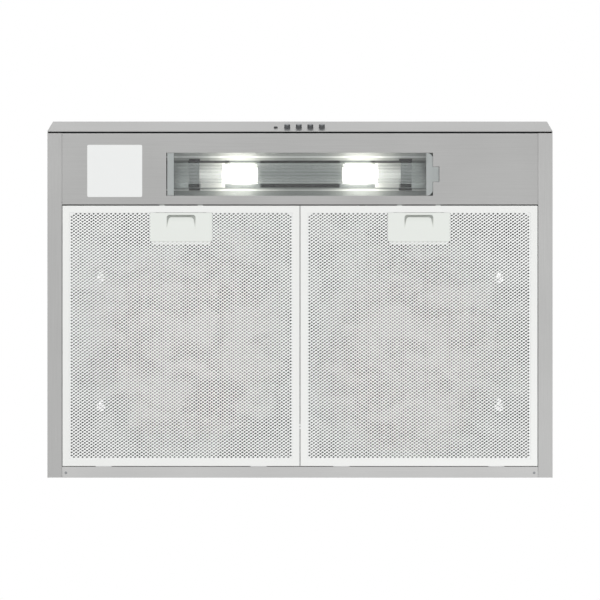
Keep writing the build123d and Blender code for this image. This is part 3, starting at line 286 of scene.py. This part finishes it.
def spangledZinc():
    material, tree, shader, place = startMaterial("galvanisedSheet", {"Metallic": 1.0})
    spangleInputs = {"Vector": (place, "Object"), "Scale": 1 / (zinc["spangleMm"] * mm)}
    spangle = addNode(tree, "ShaderNodeTexVoronoi", inputs=spangleInputs)
    crystal = addNode(tree, "ShaderNodeSeparateColor", inputs={0: (spangle, "Color")})
    zincTone = ramp(tree, (crystal, 0), [(0.0, zinc["dark"]), (1.0, zinc["light"])])
    link(tree, zincTone, 0, shader, "Base Color")
    rough = spanned(tree, (crystal, 1), 0.0, 1.0, *zinc["roughness"])
    link(tree, rough, 0, shader, "Roughness")
    return material


galvanised = spangledZinc()

# aluminium strip, rolled and etched bright: pale, with a soft even shine. The filter frame's outer
# walls, which stand upright in the gaps, are painted dark grey: painted shade. Within withinX and withinY,
# upright faces are bright too
frameMetal = {
    "tone": "#FDFEFC",
    "edgeMm": 0.6,
    "walls": "#6E706E",
    "withinX": (8, 345),
    "withinY": (-199, 172),
}
metalGrain = {"scale": 900.0, "darker": 6, "spread": 0.05}


def evenMetal(name, text, roughness, isFrame=False):
    material, tree, shader, place = startMaterial(name, {"Metallic": 1.0})
    grain = grainNoise(tree, (place, "Object"), metalGrain["scale"])
    spread = metalGrain["spread"]
    rough = spanned(tree, (grain, 0), 0.3, 0.7, roughness - spread, roughness + spread)
    link(tree, rough, 0, shader, "Roughness")
    shade = ramp(tree, (grain, 0), [(0.3, shifted(text, -metalGrain["darker"])), (0.7, text)])
    if not isFrame:
        link(tree, shade, 0, shader, "Base Color")
        return material
    edge = addNode(tree, "ShaderNodeBevel", {"samples": 4}, {"Radius": frameMetal["edgeMm"] * mm})
    link(tree, edge, 0, shader, "Normal")
    facing = alongAxes(tree, (place, "Normal"))
    flatness = calc(tree, "ABSOLUTE", (facing, 2))
    flat = spanned(tree, (flatness, 0), 0.3, 0.7)
    spot = alongAxes(tree, (place, "Object"))
    outward = calc(tree, "ABSOLUTE", (spot, 0))
    withinX = between(tree, (outward, 0), *frameMetal["withinX"])
    withinY = between(tree, (spot, 1), *frameMetal["withinY"])
    within = calc(tree, "MULTIPLY", (withinX, 0), (withinY, 0))
    bright = calc(tree, "MAXIMUM", (flat, 0), (within, 0))
    # upright faces outside the box get the painted shade
    shadeMix = mixTones(tree, (bright, 0), tone(frameMetal["walls"]), (shade, 0))
    link(tree, shadeMix, 2, shader, "Base Color")
    return material


frameAluminium = evenMetal("aluminiumFrame", frameMetal["tone"], 0.42, isFrame=True)

# aluminium sheet, slit and stretched, its cut strands washed bright
meshAluminium = evenMetal("aluminiumExpanded", "#F8F9F8", 0.38)

# bright drawn steel of springs, rods and rivets: grey, with a sharper shine
springSteel = evenMetal("springSteel", "#9C9EA0", 0.28)

# decorative chrome on moulded buttons: nearly a mirror, a little grey
chromePlate = evenMetal("chromePlated", "#7E8082", 0.10)

# aluminium foil, expanded and crumpled: folds shine here and lie in shade there, both painted. Towards the
# kitchen the foil is darker with painted shade, and its upper side is lighter
folded = {
    "dark": "#4A4B4B",
    "light": "#9A9B9A",
    "upperDark": "#B9BBBA",
    "upperLight": "#DADCDB",
    "foldMm": 38,
    "stretch": 0.7,
}


def crumpledFoil():
    material, tree, shader, place = startMaterial("aluminiumFoil", {"Metallic": 1.0, "Roughness": 0.4})
    scale = (folded["stretch"], 1, 1)
    spread = addNode(tree, "ShaderNodeMapping", inputs={"Vector": (place, "Object"), "Scale": scale})
    folds = grainNoise(tree, (spread, 0), 1 / (folded["foldMm"] * mm), 3.0, {"Distortion": 0.6})
    kitchenSideShade = ramp(tree, (folds, 0), [(0.38, folded["dark"]), (0.62, folded["light"])])
    upperSideTone = ramp(tree, (folds, 0), [(0.38, folded["upperDark"]), (0.62, folded["upperLight"])])
    facing = alongAxes(tree, (place, "Normal"))
    upward = spanned(tree, (facing, 2), 0.1, 0.6)
    # painted shade on the side towards the kitchen
    foilTone = mixTones(tree, (upward, 0), (kitchenSideShade, 0), (upperSideTone, 0))
    link(tree, foilTone, 2, shader, "Base Color")
    return material


foilAluminium = crumpledFoil()

# injection moulded plastic: even colour, a fine spark-eroded grain and a soft shine
mouldGrain = {"grainMm": 0.3, "depthMm": 0.02, "spread": 0.05}


def moulded(name, text, roughness, more=None):
    material, tree, shader, place = startMaterial(name, {"Base Color": tone(text), **(more or {})})
    grain = grainNoise(tree, (place, "Object"), 1 / (mouldGrain["grainMm"] * mm))
    spread = mouldGrain["spread"]
    rough = spanned(tree, (grain, 0), 0.3, 0.7, roughness - spread, roughness + spread)
    link(tree, rough, 0, shader, "Roughness")
    bumpInputs = {"Height": (grain, 0), "Strength": 0.15, "Distance": mouldGrain["depthMm"] * mm}
    bump = addNode(tree, "ShaderNodeBump", inputs=bumpInputs)
    link(tree, bump, 0, shader, "Normal")
    return material


def toneAlong(material, axis, start, end, key, mirrored=False):
    # the socket's colour goes from one place in millimetres to another, each given with its colour
    tree = material.node_tree
    shader = tree.nodes["Principled BSDF"]
    place = addNode(tree, "ShaderNodeTexCoord")
    spot = (alongAxes(tree, (place, "Object")), "xyz".index(axis))
    if mirrored:
        spot = (calc(tree, "ABSOLUTE", spot), 0)
    way = spanned(tree, spot, start[0] * mm, end[0] * mm)
    shade = ramp(tree, (way, 0), [(0.0, start[1]), (1.0, end[1])])
    link(tree, shade, 0, shader, key)


# white ABS, moulded: bright, and darker in the depth of the finger pull with painted shade
pullShade = {"face": "#F1F3EE", "deep": "#C3C6C1", "fromZ": -129.4, "toZ": -127.0}
latchPlastic = moulded("latchAbs", pullShade["face"], 0.42)
pullFace = (pullShade["fromZ"], pullShade["face"])
pullShadedDeep = (pullShade["toZ"], pullShade["deep"])
toneAlong(latchPlastic, "z", pullFace, pullShadedDeep, "Base Color")

# black nylon, moulded: dull and slightly grey
darkNylon = moulded("darkNylon", "#1C1C1E", 0.5)

# glazed porcelain of the lamp holders: glossy and thin, with a painted glow, lighter near the lamps, for the
# lamps' light on it
holderPaintedGlow = {"near": (119, "#B4B4B0"), "far": (149, "#707070"), "strength": 1.0}
porcelain = moulded("glazedPorcelain", "#F4F3EE", 0.18, {"Emission Strength": holderPaintedGlow["strength"]})
toneAlong(porcelain, "x", holderPaintedGlow["near"], holderPaintedGlow["far"], "Emission Color", mirrored=True)

# grey-white polypropylene can of the capacitor: dull
capacitorCase = moulded("capacitorCase", "#DADAD4", 0.4)

# black enamel baked on the motor's steel: half gloss, with a faint orange peel
motorEnamel = moulded("motorEnamel", "#1B1C1E", 0.32)

# black vinyl sheath of the cables: soft and dull
cableSheath = moulded("cableVinyl", "#1E1F21", 0.45)

# smoke-grey window of the indicator, unlit: glossy and nearly black inside
indicatorSmoke = moulded("indicatorLens", "#3A3B3D", 0.15)

# white vinyl label, blank: smooth, with a soft shine
vinylLabel = moulded("vinylLabel", "#F7F7F6", 0.35)

# satin-etched lamp glass, lit: warm white all over
lampGlow = {"Emission Color": tone("#FFFCF4"), "Emission Strength": 3.6}
satinGlass = moulded("satinGlass", "#FBFAF6", 0.3, lampGlow)

# trough of the lamp: rolled steel sheet with a dull zinc-grey ceiling between two folds, dark in their bends
# with painted shade. Its flanks are white with painted light, the front one lighter, and have a painted
# highlight along their edges. The ceiling beside the lamps and the bends where the lamps shine into them are
# pale with painted light
trough = {
    "ceiling": "#9A9E9D",
    "ceilingGrain": 8,
    # dark of the bends: painted shade
    "fold": "#262828",
    # flanks: painted light, the front lighter
    "frontFlankLit": "#C4C5C3",
    "rearFlankLit": "#A0A3A2",
    # painted highlight along the flanks' edges
    "edgeHighlight": "#FFFFFF",
    # pale ceiling beside the lamps: painted light
    "plate": "#FAFAF8",
    "roughness": 0.32,
}
troughZones = {
    "frontFold": (-276.0, -272.8),
    "rearFold": (-241.9, -236.0),
    "frontEdgeHighlight": (-281.8, -279.7),
    "rearEdgeHighlight": (-232.7, -231.1),
    # where painted light from the lamps makes the bends pale
    "frontFoldPale": (62, 104),
    "rearFoldPale": (62, 148),
    "foldEnd": 167,
    "lampLightX": (113, 151.5),
}


def shadedBend(tree, along, outward, edgeName):
    # painted shade along one fold, out to its end, save where painted light makes it pale
    fold = between(tree, along, *troughZones[f"{edgeName}Fold"])
    pale = between(tree, outward, *troughZones[f"{edgeName}FoldPale"], 4)
    inner = between(tree, outward, -1, troughZones["foldEnd"], 2)
    rest = calc(tree, "SUBTRACT", (inner, 0), (pale, 0))
    dark = calc(tree, "MAXIMUM", (rest, 0), 0.0)
    return calc(tree, "MULTIPLY", (fold, 0), (dark, 0))


def troughPaint():
    material, tree, shader, place = startMaterial("troughSheet", {"Roughness": trough["roughness"]})
    spot = alongAxes(tree, (place, "Object"))
    along = (spot, 1)
    outward = (calc(tree, "ABSOLUTE", (spot, 0)), 0)
    frontBendShade = shadedBend(tree, along, outward, "front")
    rearBendShade = shadedBend(tree, along, outward, "rear")
    bendShades = calc(tree, "ADD", (frontBendShade, 0), (rearBendShade, 0))
    frontEdgeHighlight = between(tree, along, *troughZones["frontEdgeHighlight"])
    rearEdgeHighlight = between(tree, along, *troughZones["rearEdgeHighlight"])
    edgeHighlights = calc(tree, "ADD", (frontEdgeHighlight, 0), (rearEdgeHighlight, 0))
    ceilingZone = between(tree, along, troughZones["frontFold"][0], troughZones["rearFold"][1])
    rearZone = between(tree, along, troughZones["rearFold"][1], 0)
    lampLightZone = between(tree, outward, *troughZones["lampLightX"])

    # painted light on the flanks, with painted highlights along their edges
    flankLightTone = mixTones(tree, (rearZone, 0), tone(trough["frontFlankLit"]), tone(trough["rearFlankLit"]))
    highlightedTone = mixTones(tree, (edgeHighlights, 0), (flankLightTone, 2), tone(trough["edgeHighlight"]))
    rolled = grainNoise(tree, (place, "Object"), 260.0, 3.0)
    ceilingDark = shifted(trough["ceiling"], -trough["ceilingGrain"])
    ceilingLight = shifted(trough["ceiling"], trough["ceilingGrain"])
    rolledTone = ramp(tree, (rolled, 0), [(0.3, ceilingDark), (0.7, ceilingLight)])
    # painted light on the ceiling beside the lamps
    ceilingTone = mixTones(tree, (lampLightZone, 0), (rolledTone, 0), tone(trough["plate"]))
    unbentTone = mixTones(tree, (ceilingZone, 0), (highlightedTone, 2), (ceilingTone, 2))
    sheetTone = mixTones(tree, (bendShades, 0), (unbentTone, 2), tone(trough["fold"]))
    link(tree, sheetTone, 2, shader, "Base Color")

    # the ceiling is bare metal, save where it is painted pale with light beside the lamps
    awayFromLampLight = calc(tree, "SUBTRACT", 1.0, (lampLightZone, 0))
    bareZone = calc(tree, "MULTIPLY", (ceilingZone, 0), (awayFromLampLight, 0))
    link(tree, bareZone, 0, shader, "Metallic")
    return material


reflectorSheet = troughPaint()

# clear styrene-acrylic moulding, polished in the mould; its two ends carry a spark-eroded matt texture
lensFinish = {
    "tone": "#F7FAF9",
    "mattTone": "#DCE0DF",
    "clearRough": 0.05,
    "mattRough": 0.55,
    "mattFromX": 187.5,
    "mattThrough": 0.45,
    "refraction": 1.49,
}


def mattEndedLens():
    values = {"Base Color": tone(lensFinish["tone"]), "IOR": lensFinish["refraction"]}
    material, tree, shader, place = startMaterial("clearAcrylic", values)
    spot = alongAxes(tree, (place, "Object"))
    outward = calc(tree, "ABSOLUTE", (spot, 0))
    clearEnd = (lensFinish["mattFromX"] - 0.5) * mm
    mattStart = (lensFinish["mattFromX"] + 0.5) * mm
    matt = spanned(tree, (outward, 0), clearEnd, mattStart)
    rough = spanned(tree, (matt, 0), 0.0, 1.0, lensFinish["clearRough"], lensFinish["mattRough"])
    through = spanned(tree, (matt, 0), 0.0, 1.0, 1.0, lensFinish["mattThrough"])
    shade = ramp(tree, (matt, 0), [(0.0, lensFinish["tone"]), (1.0, lensFinish["mattTone"])])
    link(tree, shade, 0, shader, "Base Color")
    link(tree, rough, 0, shader, "Roughness")
    link(tree, through, 0, shader, "Transmission Weight")
    return material


clearAcrylic = mattEndedLens()

bySlot = {
    "steel_shell": steelAcross,
    "galvanised": galvanised,
    "aluminium": frameAluminium,
    "reflector": reflectorSheet,
    "chrome": chromePlate,
    "latch_plastic": latchPlastic,
    "dark_plastic": darkNylon,
    "lens_clear": clearAcrylic,
    "bulb_glass": satinGlass,
    "lamp_porcelain": porcelain,
    "indicator_smoke": indicatorSmoke,
    "label_white": vinylLabel,
    "motor_paint": motorEnamel,
    "capacitor_case": capacitorCase,
    "cable_sheath": cableSheath,
    "spring_steel": springSteel,
}
byNode = {
    "front_fascia": steelFascia,
    "front_pan": steelFront,
    "back_panel": steelRear,
    "end_panel_left": steelLeft,
    "end_panel_right": steelRight,
}
slotOf = {entry["node"]: entry["material_slot"] for entry in frame["record"]["subparts"]}
for name, node in nodes.items():
    material = byNode.get(name, bySlot[slotOf[name]])
    for slot in node.material_slots:
        slot.material = material
print("stage: materials")


def makePiece(bm, name, material, body, replaced=()):
    data = bpy.data.meshes.new(name)
    bm.to_mesh(data)
    bm.free()
    data.materials.append(material)
    piece = bpy.data.objects.new(name, data)
    bpy.context.scene.collection.objects.link(piece)
    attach(piece, body)
    if replaced:
        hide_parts(*replaced)
    return piece


def copyNode(name):
    # a CAD node's surface to work on
    bm = bmesh.new()
    bm.from_mesh(nodes[name].data)
    bm.transform(nodes[name].matrix_world)
    return bm


def toMillimetres(bm):
    bmesh.ops.scale(bm, vec=(1 / mm, 1 / mm, 1 / mm), verts=bm.verts)
    bmesh.ops.remove_doubles(bm, verts=bm.verts, dist=0.001)


def toMetres(bm):
    bmesh.ops.scale(bm, vec=(mm, mm, mm), verts=bm.verts)


def newVerts(made):
    return [part for part in made["geom"] if isinstance(part, bmesh.types.BMVert)]


# a filter's opening and the notch for its handle; middle and half are measured across the hood
opening = {"middle": 176.6, "half": 166.1, "front": -196.8, "rear": 169.7}
latchNotch = {"half": 34.3, "rear": -157.9}

# expanded aluminium face: rhombs cut and stretched from sheet, with half a hole's size as (x, y). The
# first and last hole are the left filter's, at its front left and rear right corner
faceSheet = {
    "pitch": (6.5, 4.66),
    "hole": (2.1, 1.5),
    "strand": 1.5,
    "thickness": 0.5,
    "z": -128.7,
    "edge": 4.5,
    "notchGap": (2, 1),
    "firstHole": (-339.1, -194.7),
    "lastHole": (-14.0, 168.0),
}

# three foil layers behind the face, crumpled, each shifted against the last. halfInside keeps their
# tips off the frame's walls, and pairs of numbers are across the hood first
foils = {
    "pitch": (9.6, 6.7),
    "hole": (3.0, 2.1),
    "wornHole": (4.35, 3.0),
    "strand": 1.8,
    "thickness": 0.25,
    "levels": (-126.6, -125.3, -124.0),
    "edge": 2.0,
    "notchGap": (10, 10),
    "halfInside": 174.8,
    "start": (1.1, 0.0),
    "shift": (2.9, 1.9),
    "push": 1.6,
    "pushMm": 11,
    "pushStep": 9.0,
    "crumple": (0.9, 0.22),
    "wave": 0.35,
    "waveMm": (9.0, 13.0),
    "waveStep": (2.1, 1.0),
    "sway": (1.3, 0.8),
    "swayMm": (31.0, 23.0),
    "seed": 7,
}
# under the keyholes of the top the foils are pulled thin, and daylight shows through them
worn = {"x": 296.2, "y": (-98.5, 94.5), "radius": 10.0, "neckHalf": 6.5, "neckLength": 19.0}


def isWorn(x, y):
    dx = abs(x) - worn["x"]
    for middleY in worn["y"]:
        dy = y - middleY
        inNeck = abs(dx) < worn["neckHalf"] and -worn["neckLength"] < dy < 0
        if math.hypot(dx, dy) < worn["radius"] or inNeck:
            return True
    return False


def openHoles(bm, sheet, centre):
    # moves the holes' corners, so that the bonds where four strands meet are wider than the strands;
    # u and v count cells along the strands, and are whole numbers in the middle of a bond
    pitchX, pitchY = sheet["pitch"]
    for vert in bm.verts:
        u = (vert.co.x - centre[0]) / pitchX + (vert.co.y - centre[1]) / pitchY
        v = (vert.co.x - centre[0]) / pitchX - (vert.co.y - centre[1]) / pitchY
        onBond = abs(u - round(u)) < 0.02 and abs(v - round(v)) < 0.02
        if onBond:
            continue
        cellU = math.floor(u) + 0.5
        cellV = math.floor(v) + 0.5
        x = centre[0] + (cellU + cellV) * pitchX / 2
        y = centre[1] + (cellU - cellV) * pitchY / 2
        dx = vert.co.x - x
        dy = vert.co.y - y
        hole = sheet["wornHole"] if "wornHole" in sheet and isWorn(x, y) else sheet["hole"]
        if abs(dx) > abs(dy):
            vert.co.x = x + math.copysign(hole[0], dx)
            vert.co.y = y
        else:
            vert.co.x = x
            vert.co.y = y + math.copysign(hole[1], dy)


def thickenPlain(bm, plain, thickness):
    # the margin under the frame's lip has no holes
    flat = list({vert for face in plain for vert in face.verts})
    far = newVerts(bmesh.ops.extrude_face_region(bm, geom=plain))
    bmesh.ops.translate(bm, verts=far, vec=(0, 0, thickness / 2))
    near = [vert for vert in flat if vert.is_valid]
    bmesh.ops.translate(bm, verts=near, vec=(0, 0, -thickness / 2))
    bmesh.ops.recalc_face_normals(bm, faces=bm.faces)


def rhombSheet(bm, sheet, area, notch, holeAt, holeArea=None):
    # struts round every rhomb of a grid that fills the area, flat at z = 0, with a hole centred at
    # holeAt. Outside holeArea the sheet has no holes. The grid's cells stand on their corners, and it
    # starts a few cells larger than the area
    pitchX, pitchY = sheet["pitch"]
    centre = [
        holeAt[0] + pitchX / 2 + pitchX * round(((area[0] + area[1]) / 2 - holeAt[0]) / pitchX),
        holeAt[1] + pitchY * round(((area[2] + area[3]) / 2 - holeAt[1]) / pitchY),
    ]
    cells = 2 * math.ceil((area[1] - area[0]) / pitchX / 2 + (area[3] - area[2]) / pitchY / 2) + 4
    bmesh.ops.create_grid(bm, x_segments=cells, y_segments=cells, size=cells / 2)
    turn = Matrix((
        (pitchX / 2, pitchX / 2, 0, centre[0]),
        (pitchY / 2, -pitchY / 2, 0, centre[1]),
        (0, 0, 1, 0),
        (0, 0, 0, 1),
    ))
    bmesh.ops.transform(bm, matrix=turn, verts=bm.verts)
    outside = []
    for face in bm.faces:
        x, y, _ = face.calc_center_median()
        inNotch = abs(x - notch["middle"]) < notch["half"] and y < notch["rear"]
        if not (area[0] < x < area[1] and area[2] < y < area[3]) or inNotch:
            outside.append(face)
    bmesh.ops.delete(bm, geom=outside, context="FACES")
    bmesh.ops.recalc_face_normals(bm, faces=bm.faces)

    holed = []
    plain = []
    for face in bm.faces:
        x, y, _ = face.calc_center_median()
        isHole = holeArea is None or (holeArea[0] < x < holeArea[1] and holeArea[2] < y < holeArea[3])
        (holed if isHole else plain).append(face)
    strands = {"thickness": sheet["strand"], "offset": 0.0, "use_replace": True}
    bmesh.ops.wireframe(bm, faces=holed, use_boundary=True, use_even_offset=True, **strands)
    tall = max(v.co.z for v in bm.verts) - min(v.co.z for v in bm.verts)
    bmesh.ops.scale(bm, vec=(1, 1, sheet["thickness"] / tall), verts=bm.verts)
    if plain:
        thickenPlain(bm, [face for face in plain if face.is_valid], sheet["thickness"])
    openHoles(bm, sheet, centre)


def sheetArea(sheet, middle):
    # left, right, front and rear edge of a flat sheet
    return [
        middle - opening["half"] - sheet["edge"],
        middle + opening["half"] + sheet["edge"],
        opening["front"] - sheet["edge"],
        opening["rear"] + sheet["edge"],
    ]


def sheetNotch(sheet, middle):
    gapX, gapY = sheet["notchGap"]
    return {"middle": middle, "half": latchNotch["half"] + gapX, "rear": latchNotch["rear"] + gapY}


def crumple(bm, middle, level, chance):
    # waves, a slow push to the side and a little roughness from point to point
    across, up = foils["crumple"]
    stepX, stepY = foils["waveStep"]
    leftEnd = middle - foils["halfInside"]
    rightEnd = middle + foils["halfInside"]
    for vert in bm.verts:
        x, y, _ = vert.co
        spot = Vector((x / foils["pushMm"], y / foils["pushMm"], level * foils["pushStep"]))
        push = noise.noise_vector(spot)
        moved = x + foils["push"] * push.x + across * chance.uniform(-0.5, 0.5)
        vert.co.x = max(leftEnd, min(rightEnd, moved))
        vert.co.y += foils["push"] * push.y + across * chance.uniform(-0.5, 0.5)
        swayX = foils["sway"][0] * math.sin(y / foils["swayMm"][0])
        swayY = foils["sway"][1] * math.sin(x / foils["swayMm"][1])
        waveX = math.sin(x / foils["waveMm"][0] + stepX * level + swayX)
        waveY = math.sin(y / foils["waveMm"][1] + stepY * level + swayY)
        vert.co.z += foils["levels"][level] + foils["wave"] * (waveX * waveY) + up * chance.uniform(-1, 1)


noise.seed_set(foils["seed"])  # or the crumple would differ from run to run
for side, sign in sides.items():
    middle = sign * opening["middle"]
    # the right filter's holes are the left one's, moved across
    toSide = (sign + 1) * opening["middle"]
    holeAt = (faceSheet["firstHole"][0] + toSide, faceSheet["firstHole"][1])
    lastHole = (faceSheet["lastHole"][0] + toSide, faceSheet["lastHole"][1])
    holeArea = (holeAt[0] - 0.5, lastHole[0] + 0.5, holeAt[1] - 0.5, lastHole[1] + 0.5)
    bm = bmesh.new()
    rhombSheet(bm, faceSheet, sheetArea(faceSheet, middle), sheetNotch(faceSheet, middle), holeAt, holeArea)
    bmesh.ops.translate(bm, verts=bm.verts, vec=(0, 0, faceSheet["z"]))
    toMetres(bm)
    faceNode = f"filter_face_{side}"
    makePiece(bm, f"expandedFace_{side}", meshAluminium, f"filter_{side}", [faceNode])

    chance = random.Random(foils["seed"] + sign)
    allFoils = bmesh.new()
    for level in range(len(foils["levels"])):
        sheet = bmesh.new()
        foilX = holeAt[0] + foils["shift"][0] * level + foils["start"][0]
        foilY = holeAt[1] + foils["shift"][1] * level + foils["start"][1]
        rhombSheet(sheet, foils, sheetArea(foils, middle), sheetNotch(foils, middle), (foilX, foilY))
        crumple(sheet, middle, level, chance)
        layer = bpy.data.meshes.new("foil")
        sheet.to_mesh(layer)
        sheet.free()
        allFoils.from_mesh(layer)
        bpy.data.meshes.remove(layer)
    toMetres(allFoils)
    layersNode = f"filter_layers_{side}"
    makePiece(allFoils, f"expandedFoils_{side}", foilAluminium, f"filter_{side}", [layersNode])
print("stage: filters")

# spring clips that hold the lamp carriers: thin plates on the trough's leaning flanks, each from its
# lower to its upper edge as (y from the lamps' line, z). Their thickness goes the way that square says
clips = {
    "x": ((-166.5, -150), (148.5, 168)),
    "front": ((-24.6, -105.2), (-21.4, -99.2)),
    "rear": ((22.0, -100.2), (19.0, -94.6)),
    "middleY": -253.5,
    "thickness": 0.5,
    "square": (0.88, -0.47),
}
bm = bmesh.new()
for leftX, rightX in clips["x"]:
    for edgeName, inward in {"front": 1, "rear": -1}.items():
        low, high = clips[edgeName]
        around = ((leftX, low), (leftX, high), (rightX, high), (rightX, low))
        corners = [bm.verts.new((x, clips["middleY"] + y, z)) for x, (y, z) in around]
        plate = bm.faces.new(corners)
        upper = newVerts(bmesh.ops.extrude_face_region(bm, geom=[plate]))
        thickY = inward * clips["thickness"] * clips["square"][0]
        thickZ = clips["thickness"] * clips["square"][1]
        bmesh.ops.translate(bm, verts=upper, vec=(0, thickY, thickZ))
bmesh.ops.recalc_face_normals(bm, faces=bm.faces)
toMetres(bm)
makePiece(bm, "lampCarrierClips", darkNylon, "hood")

# latch handles: the finger pull is a groove along its front that fades out down both sides, round a
# shallow ramp; each ring is how far in from the outline and how deep
pull = {
    "halfX": 21.5,
    "front": -193.4,
    "rear": -172.4,
    "faceZ": -130.0,
    "deepestZ": -125.7,
    "rings": ((0.2, 0.5), (0.5, 3.0), (0.9, 4.15), (2.9, 4.15), (3.3, 3.0), (3.6, 1.3), (4.1, 1.0)),
    "fade": 0.97,
}


def isPocket(face, middle):
    # the walls and the floor of the CAD handle's plain pocket
    x, y, z = face.calc_center_median()
    inOutline = abs(x - middle) < pull["halfX"] and pull["front"] < y < pull["rear"]
    return inOutline and pull["faceZ"] + 0.05 < z < pull["deepestZ"] and face.normal.z < 0.9


def addRing(bm, edges, outline, middle, inset, depth):
    # one more ring of faces; outline gives each of the last ring's points its place on the pocket's edge
    grown = bmesh.ops.extrude_edge_only(bm, edges=edges)
    nextOutline = {}
    for vert in newVerts(grown):
        old = next(edge.other_vert(vert) for edge in vert.link_edges if edge.other_vert(vert) in outline)
        nextOutline[vert] = outline[old]
    for vert, (x, y) in nextOutline.items():
        fade = 1 - pull["fade"] * (y - pull["front"]) / (pull["rear"] - pull["front"])
        sideways = (x - middle) / pull["halfX"] * inset * fade
        vert.co = (x - sideways, y + inset * fade, pull["faceZ"] + depth * fade)
    newEdges = []
    for part in grown["geom"]:
        if isinstance(part, bmesh.types.BMEdge) and all(vert in nextOutline for vert in part.verts):
            newEdges.append(part)
    return newEdges, nextOutline


for side, sign in sides.items():
    middle = sign * opening["middle"]
    bm = copyNode(f"latch_{side}")
    toMillimetres(bm)
    bm.normal_update()
    pocket = [face for face in bm.faces if isPocket(face, middle)]
    bmesh.ops.delete(bm, geom=pocket, context="FACES")
    edges = [edge for edge in bm.edges if len(edge.link_faces) == 1]
    outline = {vert: (vert.co.x, vert.co.y) for edge in edges for vert in edge.verts}
    for inset, depth in pull["rings"]:
        edges, outline = addRing(bm, edges, outline, middle, inset, depth)
    rampFaces = bmesh.ops.contextual_create(bm, geom=edges)["faces"]
    for face in rampFaces:
        face.smooth = False
    bmesh.ops.recalc_face_normals(bm, faces=bm.faces)
    toMetres(bm)
    makePiece(bm, f"latchHandle_{side}", latchPlastic, f"latch_{side}", [f"latch_{side}"])

# the return springs, which shorten from their fixed ends as the handle is pulled, each copied with a mesh of
# its own onto the filter
for side in sides:
    springNode = f"latch_springs_{side}"
    bm = copyNode(springNode)
    piece = makePiece(bm, f"latchSprings_{side}", springSteel, f"filter_{side}", [springNode])
    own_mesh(piece)
print("stage: latches")

# lamp lens: the plate's inner face carries round ribs along its length that spread the light
ribs = {
    "pitch": 2.04,
    "height": 0.5,
    "count": 15,
    "segments": 6,
    "middleY": -254.9,
    "floorZ": -128.5,
    "sharpDegrees": 40,
}


def onFloor(face):
    return face.normal.z > 0.9 and abs(face.calc_center_median().z - ribs["floorZ"]) < 0.01


bm = copyNode("lamp_lens")
toMillimetres(bm)
ribStart = ribs["middleY"] - ribs["pitch"] * ribs["count"] / 2
for step in range(ribs["count"] * ribs["segments"] + 1):
    bm.normal_update()
    floorFaces = [face for face in bm.faces if onFloor(face)]
    parts = set(floorFaces)
    for face in floorFaces:
        parts.update(face.edges)
        parts.update(face.verts)
    y = ribStart + step * ribs["pitch"] / ribs["segments"]
    bmesh.ops.bisect_plane(bm, geom=list(parts), dist=0.0001, plane_co=(0, y, 0), plane_no=(0, 1, 0))
ribRadius = ((ribs["pitch"] / 2) ** 2 + ribs["height"] ** 2) / (2 * ribs["height"])
for vert in bm.verts:
    along = (vert.co.y - ribStart) / ribs["pitch"]
    if abs(vert.co.z - ribs["floorZ"]) < 0.001 and 0 < along < ribs["count"]:
        offset = (along - math.floor(along + 0.0001) - 0.5) * ribs["pitch"]
        rise = math.sqrt(max(0, ribRadius**2 - offset**2)) - ribRadius + ribs["height"]
        vert.co.z += max(0, rise)
bmesh.ops.recalc_face_normals(bm, faces=bm.faces)
for face in bm.faces:
    face.smooth = True
for edge in bm.edges:
    edge.smooth = edge.is_manifold and edge.calc_face_angle(0) < math.radians(ribs["sharpDegrees"])
toMetres(bm)
makePiece(bm, "ribbedLens", clearAcrylic, "lens", ["lamp_lens"])
print("stage: lens")
